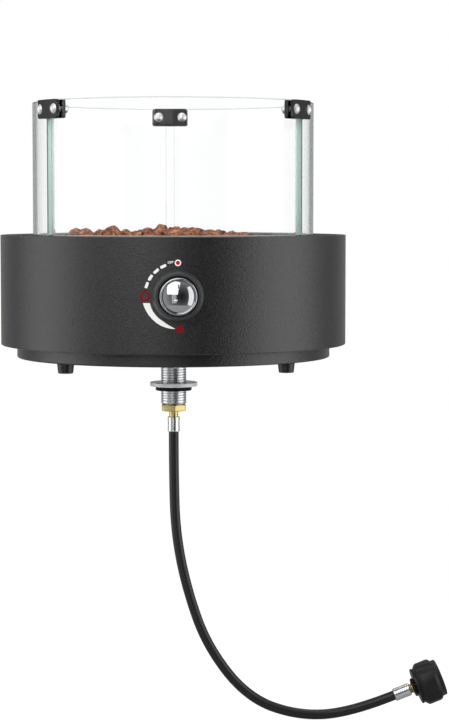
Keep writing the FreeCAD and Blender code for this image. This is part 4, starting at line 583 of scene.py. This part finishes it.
bead = arc((17.85, 16.0), 1.25, 0, 150, 12)
crown = dome(CROWN_RADIUS, CROWN_RISE, 15.9, 20)
profile = [(17.9, 8.2), (18.1, 8.0), (18.8, 8.0), (19.1, 8.3), *bead, *crown,
           (0, 19.9), (15.2, 14.6), (17.9, 13.4), (17.9, 8.2)]
knob_cap = turned(profile, steps=128)
face_front(knob_cap)
finish_piece(knob_cap, "chromed_knob_cap", "knob", chrome, smooth=40)
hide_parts("knob_cap")

bezel = turned([(20.4, -1.8), (26.5, -1.8), (26.5, 0.9), *arc((25.7, 1.0), 0.8, 0, 25, 3),
                *arc((23.4, 6.2), 0.8, 23, 90, 5), *arc((21.4, 6.0), 1.0, 90, 180, 5),
                (20.4, -1.8)], steps=128)
face_front(bezel)
finish_piece(bezel, "moulded_knob_bezel", "housing", bezel_nylon)
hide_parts("knob_bezel")
print("knob cap and bezel turned:", len(knob_cap.data.polygons), len(bezel.data.polygons))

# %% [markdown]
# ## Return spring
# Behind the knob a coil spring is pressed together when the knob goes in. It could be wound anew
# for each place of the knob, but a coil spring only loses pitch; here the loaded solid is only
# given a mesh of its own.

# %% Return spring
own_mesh(nodes["push_spring"])

# %% [markdown]
# ## Dial marks
# The dial is screen printed on the coat: OFF beside a red dot in a white ring, four dashes for
# the lighting range, and a white wedge that narrows from the large flame to the small one. Print
# has no thickness to speak of, so each mark is a flat outline in the plane of the dial, wrapped on
# the drum a tenth of a millimetre proud. A painted texture would need an image, and this stays
# sharp.

# %% Print and index paint
def print_ink(name, text, shade):
    """Make a screen ink of two close shades, with a faint mottle of 2 mm where it is thin."""
    material, tree, shader, place = new_finish(name, Roughness=0.7, Specular_IOR_Level=0.15)
    thin = add_node(tree, "ShaderNodeTexNoise", None, {"Vector": place, "Scale": per_mm(2)})
    tint = add_node(tree, "ShaderNodeMixRGB", None,
                    {"Fac": thin.outputs["Fac"], "Color1": colour(text),
                     "Color2": colour(shade)})
    feed(shader, Base_Color=tint.outputs["Color"])
    return material


white_ink = print_ink("white_screen_ink", "FFFFFB", "F4F4F0")
red_ink = print_ink("bright_red_screen_ink", "C00010", "CE0818")
flame_ink = print_ink("dark_red_screen_ink", "86080F", "760A1C")
index_ink = print_ink("black_index_paint", "1A1A1A", "262626")
print("three inks and the index paint")

# %% Placing a mark
BEFORE_DRUM = -0.23


def apply_modifier(piece, kind, **settings):
    """Add a modifier with its settings and apply it."""
    only(piece)
    modifier = piece.modifiers.new(kind.title(), kind)
    for key, setting in settings.items():
        setattr(modifier, key, setting)
    bpy.ops.object.modifier_apply(modifier=modifier.name)


def printed(piece, name, ink, proud=0.1, target=nodes["drum_shell"], body="housing"):
    """Wrap a flat mark, drawn in front of the dial, on the surface behind it."""
    apply_modifier(piece, "SHRINKWRAP", target=target, wrap_method="PROJECT",
                   use_project_y=True, use_negative_direction=True,
                   use_positive_direction=True, offset=proud * MM)
    finish_piece(piece, name, body, ink)


def stand_at(piece, x, z, turn=0.0):
    """Stand a mark that was drawn flat on the floor upright before the dial, at x and z in mm."""
    only(piece)
    piece.rotation_euler = (math.pi / 2, 0, 0)
    bpy.ops.object.transform_apply(rotation=True)
    piece.rotation_euler = (0, -math.radians(turn), 0)
    piece.location = (x * MM, BEFORE_DRUM, (KNOB_LEVEL + z) * MM)
    bpy.ops.object.transform_apply(location=True, rotation=True)


def outlined(name, outlines, handles="AUTO"):
    """Fill closed outlines of (x, z) in mm as one flat mesh; one inside another is a hole."""
    shape = bpy.data.curves.new(name, "CURVE")
    shape.dimensions = "2D"
    shape.fill_mode = "BOTH"
    shape.resolution_u = 6
    for outline in outlines:
        edge = shape.splines.new("BEZIER")
        edge.bezier_points.add(len(outline) - 1)
        for point, (x, z) in zip(edge.bezier_points, outline):
            point.co = (x * MM, z * MM, 0)
            point.handle_left_type = point.handle_right_type = handles
        edge.use_cyclic_u = True
    only(add_object(name, shape))
    bpy.ops.object.convert(target="MESH")
    return bpy.context.object


print("a mark starts", -BEFORE_DRUM, "m before the axis")

# %% Dashes
DIAL_RADIUS = 33.7
DASH_LENGTH, DASH_WIDTH, DASH_ROUND = 6.6, 2.9, 1.1
for number, bearing in enumerate((116.4, 131.2, 146.2, 160.8), 1):
    dash = start(bpy.ops.mesh.primitive_plane_add, size=1)
    dash.scale = (DASH_LENGTH * MM, DASH_WIDTH * MM, 1)
    bpy.ops.object.transform_apply(scale=True)
    bpy.ops.object.mode_set(mode="EDIT")
    bpy.ops.mesh.bevel(offset=DASH_ROUND * MM, segments=5, affect="VERTICES")
    bpy.ops.object.mode_set(mode="OBJECT")
    turn = math.radians(bearing)
    stand_at(dash, DIAL_RADIUS * math.cos(turn), DIAL_RADIUS * math.sin(turn), bearing - 90)
    printed(dash, f"dial_dash_{number}", white_ink)
print("four dashes printed")

# %% Wedge
OUTER_EDGE = ((-168.7, 36.4), (-142, 35.4), (-122, 34.9), (-100, 33.9), (-95.5, 33.6))
INNER_EDGE = ((-95.5, 33.2), (-104, 31.7), (-112, 30.6), (-121.5, 29.9), (-149, 29.9),
              (-166, 29.6))


def swept(edge, step=2.0):
    """Return (x, z) points along an edge given as bearing and radius, a few degrees apart."""
    points = []
    for (bearing, radius), (next_bearing, next_radius) in zip(edge, edge[1:]):
        count = math.ceil(abs(next_bearing - bearing) / step)
        for number in range(count):
            share = number / count
            turn = math.radians(bearing + (next_bearing - bearing) * share)
            reach = radius + (next_radius - radius) * share
            points.append((reach * math.cos(turn), reach * math.sin(turn)))
    turn = math.radians(edge[-1][0])
    return points + [(edge[-1][1] * math.cos(turn), edge[-1][1] * math.sin(turn))]


wedge = outlined("wedge", [swept(OUTER_EDGE) + swept(INNER_EDGE)], handles="VECTOR")
stand_at(wedge, 0, 0)
printed(wedge, "dial_wedge", white_ink)
print("wedge printed:", len(wedge.data.polygons), "faces")

# %% Dot in its ring
for name, radius, ink, proud in (("dial_ring", 3.3, white_ink, 0.1),
                                 ("dial_dot", 2.15, red_ink, 0.14)):
    mark = start(bpy.ops.mesh.primitive_circle_add, vertices=48, radius=radius * MM,
                 fill_type="TRIFAN")
    stand_at(mark, -0.1, 33.8)
    printed(mark, name, ink, proud)
print("dot printed in its ring")

# %% Flames
FLAME = [(0, 6.4), (1.5, 4.5), (2.4, 3.2), (3.3, 3.3), (4.4, 1.9), (5.1, -0.4), (4.9, -3.0),
         (3.2, -5.2), (0, -6.0), (-3.3, -5.2), (-4.9, -3.0), (-5.1, -0.4), (-4.2, 2.0),
         (-2.7, 3.5), (-1.4, 4.8)]
flame_core = [(x * 0.55, z * 0.66 - 0.3) for x, z in FLAME]
big_flame = outlined("big_flame", [FLAME, flame_core])
stand_at(big_flame, -33.6, 0.3)
printed(big_flame, "dial_flame_large", flame_ink)
small_flame = outlined("small_flame", [[(x * 0.79, z * 0.68) for x, z in FLAME]])
stand_at(small_flame, 2.0, -33.3)
printed(small_flame, "dial_flame_small", flame_ink)
print("two flames printed")

# %% OFF
word = bpy.data.curves.new("off_word", "FONT")
word.body = "OFF"
word.size = 3.4 * MM
word.space_character = 0.92
word.shear = 0.25
word.offset = 0.05 * MM
word.align_x = word.align_y = "CENTER"
only(add_object("off_word", word))
bpy.ops.object.convert(target="MESH")
off_word = bpy.context.object
stand_at(off_word, -7.9, 34.2)
printed(off_word, "dial_off_word", white_ink)
print("OFF printed:", len(off_word.data.polygons), "faces")

# %% Index on the knob
index_line = start(bpy.ops.mesh.primitive_grid_add, x_subdivisions=3, y_subdivisions=9, size=1)
index_line.scale = (1.0 * MM, 4.2 * MM, 1)
stand_at(index_line, 0, 10.4)
printed(index_line, "knob_index_line", index_ink, 0.04, knob_cap, "knob")
index_dot = start(bpy.ops.mesh.primitive_circle_add, vertices=24, radius=0.6 * MM,
                  fill_type="TRIFAN")
stand_at(index_dot, 0, 6.1)
printed(index_dot, "knob_index_dot", index_ink, 0.04, knob_cap, "knob")
print("index painted")

# %% [markdown]
# ## Threaded stem
# The stem is a steel tube with a coarse rolled thread of 2.8 mm pitch that passes the table. One
# tooth of the thread is drawn as a line and wound up by a Screw modifier, which gives the true
# helix. The winding is then trimmed by a turned envelope, which gives the flat ends and chamfers
# in one cut.

# %% Cut and join
def cut(piece, tool, operation="DIFFERENCE"):
    """Cut a piece with a tool, or keep what both share, and delete the tool."""
    apply_modifier(piece, "BOOLEAN", object=tool, operation=operation, solver="EXACT")
    bpy.data.objects.remove(tool)


def join(piece, other):
    """Make another piece part of the first one's mesh."""
    only(piece)
    other.select_set(True)
    bpy.ops.object.join()


print("cut and join ready")

# %% Threaded stem
PITCH_MM, CREST, ROOT = 2.8, 14.0, 13.4
STEM_LOW, STEM_HIGH = -43.4, 22.0
turns = math.ceil((STEM_HIGH - STEM_LOW) / PITCH_MM) + 2
low = STEM_LOW - PITCH_MM
stem = drawn([(ROOT, low), (CREST - 0.1, low + 0.45), (CREST, low + 0.6),
              (CREST, low + 2.1), (CREST - 0.1, low + 2.25), (ROOT, low + 2.7),
              (ROOT, low + PITCH_MM)])
bpy.ops.object.mode_set(mode="OBJECT")
apply_modifier(stem, "SCREW", axis="Z", screw_offset=PITCH_MM * MM, iterations=turns, steps=72,
               use_merge_vertices=True, merge_threshold=0.01 * MM)
bpy.ops.object.mode_set(mode="EDIT")
bpy.ops.mesh.select_all(action="DESELECT")
bpy.ops.mesh.select_non_manifold()
bpy.ops.mesh.edge_face_add()
close_edit()
envelope = turned([(0, STEM_LOW), (12.6, STEM_LOW), (CREST + 0.4, STEM_LOW + 1.8),
                   (CREST + 0.4, STEM_HIGH - 1.8), (12.6, STEM_HIGH), (0, STEM_HIGH)], steps=72)
cut(stem, envelope, "INTERSECT")
collar = turned([(0, 7.2), (18.6, 7.2), (19.0, 7.6), (19.0, 9.8), (18.6, 10.2), (0, 10.2)])
join(stem, collar)
finish_piece(stem, "threaded_stem", "housing", zinc_plate, smooth=25)
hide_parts("table_stem")
print("stem threaded:", turns, "turns,", len(stem.data.polygons), "faces")

# %% [markdown]
# ## Gas inlet
# The inlet is a brass flange hexagon of 26 mm across its flats, with its corners tumbled round,
# on a short neck. A chamfered hexagon is what is left where a hexagonal bar meets a turned disc,
# so it is made by that cut.

# %% Chamfered hexagon
def round_edges(piece, width, segments=2, angle=30):
    """Round the sharp edges of a piece by a width in millimetres."""
    apply_modifier(piece, "BEVEL", width=width * MM, segments=segments, limit_method="ANGLE",
                   angle_limit=math.radians(angle))


def hexagon(across, low, high, turn, corner):
    """Make a hexagonal bar with rounded corners between two heights, in millimetres."""
    bar = start(bpy.ops.mesh.primitive_cylinder_add, vertices=6,
                radius=across / math.sqrt(3) * MM, depth=(high - low) * MM,
                location=(0, 0, (low + high) / 2 * MM), rotation=(0, 0, math.radians(turn)))
    bpy.ops.object.transform_apply(location=True, rotation=True)
    bpy.ops.object.mode_set(mode="EDIT")
    bpy.ops.mesh.select_mode(type="EDGE")
    bpy.ops.mesh.select_all(action="DESELECT")
    bpy.ops.object.mode_set(mode="OBJECT")
    for edge in bar.data.edges:
        first, last = (bar.data.vertices[end].co for end in edge.vertices)
        edge.select = abs(first.z - last.z) > MM
    bpy.ops.object.mode_set(mode="EDIT")
    bpy.ops.mesh.bevel(offset=corner * MM, segments=6)
    close_edit()
    return bar


def chamfered_hexagon(across, low, high, turn, corner, face, depth):
    """Make a hexagon whose chamfers run from a face's radius out past its corners."""
    bar = hexagon(across, low, high, turn, corner)
    reach = across / math.sqrt(3) + 0.4
    disc = turned([(0, low), (face, low), (reach, low + depth), (reach, high - depth),
                   (face, high), (0, high)])
    cut(bar, disc, "INTERSECT")
    return bar


print("hexagons ready")

# %% Inlet
inlet = chamfered_hexagon(26.0, -50.9, -43.4, turn=61, corner=1.6, face=12.2, depth=1.3)
round_edges(inlet, 0.25)
neck = turned([(0, -58.5), (3.2, -58.5), (3.2, -57.3), (5.0, -57.3), (5.0, -51.8),
               *arc((5.9, -51.8), 0.9, 180, 90, 4), (0, -50.9)])
join(inlet, neck)
finish_piece(inlet, "brass_inlet", "housing", brass)
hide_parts("inlet_fitting")
print("inlet made:", len(inlet.data.polygons), "faces")

# %% [markdown]
# ## Ferrules
# Each end of the hose is held by a bright steel sleeve that a press has crimped in rings, and its
# cut ends are rolled in. It could be drilled from bar, but turning one profile with the rings in
# it gives the same sleeve in one step.

# %% Ferrules
ROUTE_END = Vector(HOSE_ROUTE[-1]) * MM
CONNECTOR_AXIS = (ROUTE_END - Vector(HOSE_ROUTE[-2]) * MM).normalized()


def face_connector(piece):
    """Bring a piece that was made along Z to the hose's end, pointing out of it."""
    piece.rotation_mode = "QUATERNION"
    piece.rotation_quaternion = Vector((0, 0, 1)).rotation_difference(CONNECTOR_AXIS)
    piece.location = ROUTE_END


def crimped_sleeve(radius, length, rings, depth):
    """Turn a sleeve with shallow pressed rings between its two rolled ends, sizes in mm."""
    pitch = (length - 4.0) / rings
    edge = radius - 0.8
    profile = [(3.3, 0), *arc((edge, 0.8), 0.8, -90, 0, 4)]
    for number in range(rings):
        middle = 2.0 + (number + 0.5) * pitch
        profile += [(radius, middle - 0.46 * pitch), (radius - depth, middle - 0.2 * pitch),
                    (radius - depth, middle + 0.2 * pitch), (radius, middle + 0.46 * pitch)]
    profile += [*arc((edge, length - 0.8), 0.8, 0, 90, 4), (3.3, length), (3.3, 0)]
    return turned(profile, steps=72)


top_sleeve = crimped_sleeve(radius=6.7, length=16.7, rings=1, depth=0.2)
top_sleeve.location = (0, 0, -74.0 * MM)
finish_piece(top_sleeve, "hose_top_sleeve", "housing", sleeve_zinc)
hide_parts("upper_ferrule")
end_sleeve = crimped_sleeve(radius=7.2, length=18.7, rings=6, depth=0.07)
face_connector(end_sleeve)
finish_piece(end_sleeve, "hose_end_sleeve", "housing", sleeve_zinc)
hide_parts("lower_ferrule")
print("two sleeves crimped")

# %% [markdown]
# ## Cylinder nipple
# The nipple is machined brass: a neck with two rolled beads, a thin hexagon, a journal on which
# the hand nut turns, and the probe with a rounded nose that seals in the cylinder's valve. The
# hexagon lies in the hand nut's shadow, painted into it as a near-black brass. Neck and probe
# share one lathe profile.

# %% Nipple and its hexagon
nipple = turned([(2.5, 1), (3.2, 1), (3.2, 18.8), (4.8, 18.8),
                 *arc((4.75, 19.7), 0.75, -80, 80, 8), (4.55, 20.6),
                 *arc((4.75, 21.5), 0.75, -80, 80, 8), (5.0, 22.4), (6.0, 23.0),
                 (6.0, 32.2), (7.7, 32.2), (8.0, 32.5), (8.0, 34.5), (7.7, 34.8), (6.0, 34.8),
                 (5.6, 35.3), (5.6, 45.9), (5.3, 47.0), (4.6, 48.6), (3.8, 49.5), (3.2, 49.8),
                 (2.5, 49.4), (2.5, 1)], steps=72)
face_connector(nipple)
finish_piece(nipple, "brass_nipple", "housing", brass)
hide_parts("cylinder_nipple")

# Painted shadow: the hexagon gets the near-black brass for the hand nut's shade on it.
end_hexagon = chamfered_hexagon(19.0, 22.3, 26.0, turn=30, corner=1.0, face=9.0, depth=0.9)
bore = start(bpy.ops.mesh.primitive_cylinder_add, vertices=48, radius=5.6 * MM, depth=20 * MM,
             location=(0, 0, 24 * MM))
cut(end_hexagon, bore)
round_edges(end_hexagon, 0.2)
face_connector(end_hexagon)
finish_piece(end_hexagon, "nipple_hexagon", "housing", hexagon_painted_shadow)
print("nipple turned:", len(nipple.data.polygons), "faces")

# %% [markdown]
# ## Cylinder hand nut
# The nut is a heavy nylon moulding: a round core with a rolled rear edge, four broad raised grips,
# a plain rim round the mouth and a coarse thread inside. A plain knurl would be quicker, but the
# grips' rounded shoulders are what the hand and the eye find first, so their profile is turned,
# the four valleys are cut out of it, and every edge that is left is rounded.

# %% Hand nut
grip = [(21.1, 30.6), (22.4, 32.0), (23.5, 32.9), (24.0, 33.8), (24.2, 35.2), (24.2, 46.6),
        (24.05, 47.9), (23.6, 49.0), (22.6, 50.1), (21.3, 51.2)]
NUT_PITCH, NUT_ROOT, NUT_CREST = 2.1, 16.6, 15.7
thread = []
for crest in range(10):
    mouth = 54.6 - crest * NUT_PITCH
    thread += [(NUT_ROOT, mouth), (NUT_CREST, mouth - 0.85), (NUT_CREST, mouth - 1.25),
               (NUT_ROOT, mouth - NUT_PITCH)]
nut = turned([(6.1, 26.3), *arc((19.5, 27.1), 0.8, -90, 0, 4), (20.4, 28.4), (19.9, 28.9),
              (19.9, 29.8), *grip, (20.8, 51.8), (20.8, 55.3), (20.5, 55.9), (19.9, 56.3),
              (17.5, 56.3), (NUT_ROOT, 55.4), *thread, (NUT_ROOT, 31.9), (6.1, 31.9),
              (6.1, 26.3)], steps=120)

VALLEY_REACH, VALLEY_RADIUS = 28.2, 7.0
for bearing in (37, 127, 217, 307):
    turn = math.radians(bearing)
    spot = (VALLEY_REACH * math.sin(turn) * MM, -VALLEY_REACH * math.cos(turn) * MM, 41 * MM)
    cut(nut, start(bpy.ops.mesh.primitive_cylinder_add, vertices=64, radius=VALLEY_RADIUS * MM,
                   depth=22 * MM, location=spot))
round_edges(nut, 0.7, segments=3, angle=32)
face_connector(nut)
finish_piece(nut, "lobed_hand_nut", "hand_nut", nylon, smooth=32)
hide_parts("cylinder_nut")
print("hand nut moulded:", len(nut.data.polygons), "faces")

# %% [markdown]
# ## Rubber feet
# Four tapered rubber feet stand on the table, each with a recess for its screw. They are the same
# moulding, so one is turned and copied to the other three places.

# %% Feet
FOOT_CIRCLE = 162.0
FOOT_BEARINGS = (-46, 46, 134, 226)
foot = turned([(2.1, 4.0), (4.4, 4.0), (4.4, 0.5), (4.9, 0.0), *arc((7.2, 0.8), 0.8, -90, 0, 4),
               (9.0, 9.2), (8.9, 9.9), (8.6, 10.2), (2.1, 10.2), (2.1, 4.0)], steps=48)
feet = []
for bearing in FOOT_BEARINGS:
    turn = math.radians(bearing)
    other = add_object("foot", foot.data.copy())
    other.location = (FOOT_CIRCLE * math.sin(turn) * MM, -FOOT_CIRCLE * math.cos(turn) * MM, 0)
    feet.append(finish_piece(other, f"rubber_foot_{len(feet) + 1}", "housing", rubber))
bpy.data.objects.remove(foot)
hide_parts("rubber_feet")
print("feet:", len(feet))

# %% [markdown]
# ## Lava rocks
# The rocks are broken foamed basalt. Each one starts from the loaded solid of its own place, so
# the heap stays where it is. The broken corners are rounded off by subdivision, and the surface is
# then pushed in and out by lumps of about 9 mm and by pores of 3 mm. Modelling each rock by hand
# would give no more, because what reads as lava is the roughness of its outline.

# %% Rocks
rocks = nodes["lava_rocks"].copy()
rocks.data = rocks.data.copy()
bpy.context.scene.collection.objects.link(rocks)
only(rocks)
bpy.ops.object.mode_set(mode="EDIT")
close_edit()
apply_modifier(rocks, "SUBSURF", subdivision_type="CATMULL_CLARK", levels=3)
lumps = bpy.data.textures.new("rock_lumps", "CLOUDS")
lumps.noise_scale, lumps.noise_depth = 9 * MM, 2
holes = bpy.data.textures.new("rock_pores", "VORONOI")
holes.noise_scale = 3.4 * MM
apply_modifier(rocks, "DISPLACE", texture=lumps, strength=7.0 * MM, mid_level=0.22)
apply_modifier(rocks, "DISPLACE", texture=holes, strength=2.2 * MM)
finish_piece(rocks, "heaped_lava_rocks", "housing", lava, smooth=50)
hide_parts("lava_rocks")
print("rocks:", len(rocks.data.polygons), "faces")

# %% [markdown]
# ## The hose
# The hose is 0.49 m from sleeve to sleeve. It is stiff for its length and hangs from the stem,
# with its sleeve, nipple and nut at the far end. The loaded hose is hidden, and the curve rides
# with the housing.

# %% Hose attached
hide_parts("gas_hose")
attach(hose, "housing")

# %% [markdown]
# ## Floor, lamps and surroundings
# A studio shot on white: a pale floor, a large soft box at each side, one over the front and one
# over the top, a weak fill in front and a low strip for the stem. The sides are bright and the
# front is dim, so that chrome shows dark bars and the coat's edges are lit. Grey drapes behind
# both sides keep the last few degrees of the drum dark. The floor's white comes from its own
# colour for the camera, not from more light.

# %% Floor
FLOOR_LEVEL = cad_box[0][2] - 2 * MM
FLOOR_RADIUS = 0.8
floor = start(bpy.ops.mesh.primitive_circle_add, vertices=96, radius=FLOOR_RADIUS,
              fill_type="NGON", location=(0, 0, FLOOR_LEVEL))
bpy.ops.object.transform_apply(location=True)
floor.name = "studio_floor"
floor_paint = bpy.data.materials.new("matt_white_floor")
floor_paint.use_nodes = True
tree = floor_paint.node_tree
tree.nodes.clear()
path = add_node(tree, "ShaderNodeLightPath")
matt = add_node(tree, "ShaderNodeBsdfDiffuse", None, {"Color": colour("BEBEBE")})
shadowed = add_node(tree, "ShaderNodeBsdfDiffuse", None, {"Color": colour("7A7A7A")})
white = add_node(tree, "ShaderNodeEmission", None, {"Strength": 0.9})
shown = add_node(tree, "ShaderNodeAddShader", None,
                 {0: shadowed.outputs[0], 1: white.outputs[0]})
mixed = add_node(tree, "ShaderNodeMixShader", None,
                 {0: path.outputs["Is Camera Ray"], 1: matt.outputs[0], 2: shown.outputs[0]})
add_node(tree, "ShaderNodeOutputMaterial", None, {"Surface": mixed.outputs[0]})
floor.data.materials.append(floor_paint)
print("floor at", round(FLOOR_LEVEL, 4))

# %% Lamps
LAMP_DISTANCE = 1.8
LAMP_AIM = Vector((0, 0, 0.12))


def soft_box(name, bearing, rise, width, height, glow):
    """Hang a soft box at a bearing from the front, right positive, and a rise, in degrees.

    Its width and height are degrees too, as the drum sees them, and its glow is the brightness
    of its cloth, where 1 is white.
    """
    lamp = bpy.data.lights.new(name, "AREA")
    lamp.shape = "RECTANGLE"
    lamp.size = 2 * LAMP_DISTANCE * math.tan(math.radians(width / 2))
    lamp.size_y = 2 * LAMP_DISTANCE * math.tan(math.radians(height / 2))
    lamp.energy = glow * math.pi * lamp.size * lamp.size_y
    holder = add_object(name, lamp)
    turn, lift = math.radians(bearing), math.radians(rise)
    flat = LAMP_DISTANCE * math.cos(lift)
    holder.location = LAMP_AIM + Vector((flat * math.sin(turn), -flat * math.cos(turn),
                                         LAMP_DISTANCE * math.sin(lift)))
    holder.rotation_euler = (LAMP_AIM - holder.location).to_track_quat("-Z", "Y").to_euler()


soft_box("left_soft_box", -88, 0, 44, 70, 1.2)
soft_box("right_soft_box", 69, 0, 54, 70, 1.5)
soft_box("front_soft_box", -23, 33, 46, 54, 2.0)
soft_box("front_fill", -16, -4, 18, 46, 0.6)
soft_box("low_strip", -9, -16, 12, 5, 1.5)
soft_box("top_soft_box", 180, 78, 60, 60, 1.2)
print("six soft boxes")

# %% Surroundings
world = bpy.data.worlds.new("white_studio")
world.use_nodes = True
bpy.context.scene.world = world
tree = world.node_tree
tree.nodes.clear()
path = add_node(tree, "ShaderNodeLightPath")
way = add_node(tree, "ShaderNodeTexCoord").outputs["Generated"]
DIM_BEARING = math.radians(15)
dim_side = (math.sin(DIM_BEARING), -math.cos(DIM_BEARING), 0)
facing = add_node(tree, "ShaderNodeVectorMath", {"operation": "DOT_PRODUCT"},
                  {0: way, 1: dim_side})
dim = add_node(tree, "ShaderNodeMapRange", None,
               {"Value": facing.outputs["Value"], "From Min": 0.3, "From Max": 1.0,
                "To Min": 0.5, "To Max": 0.03})
behind = add_node(tree, "ShaderNodeSeparateXYZ", None, {"Vector": way})
drape = add_node(tree, "ShaderNodeValToRGB", None, {"Fac": behind.outputs["Y"]})
greys = ((0.15, 1.0), (1.0, 1.0), (0.45, 0.55), (0.75, 0.6))
set_stops(drape, *[(position, (grey, grey, grey, 1)) for position, grey in greys])
draped = add_node(tree, "ShaderNodeMath", {"operation": "MULTIPLY"},
                  {0: dim.outputs["Result"], 1: drape.outputs["Color"]})
mirrored = add_node(tree, "ShaderNodeMapRange", None,
                    {"Value": path.outputs["Is Glossy Ray"], "To Min": 0.4,
                     "To Max": draped.outputs[0]})
seen = add_node(tree, "ShaderNodeMath", {"operation": "MAXIMUM"},
                {0: path.outputs["Is Camera Ray"], 1: path.outputs["Is Transmission Ray"]})
level = add_node(tree, "ShaderNodeMapRange", None,
                 {"Value": seen.outputs[0], "To Min": mirrored.outputs["Result"],
                  "To Max": 1.0})
back = add_node(tree, "ShaderNodeBackground", None,
                {"Color": (1, 1, 1, 1), "Strength": level.outputs["Result"]})
add_node(tree, "ShaderNodeOutputWorld", None, {"Surface": back.outputs[0]})
bpy.context.scene.view_settings.view_transform = "Standard"
print("surroundings set")
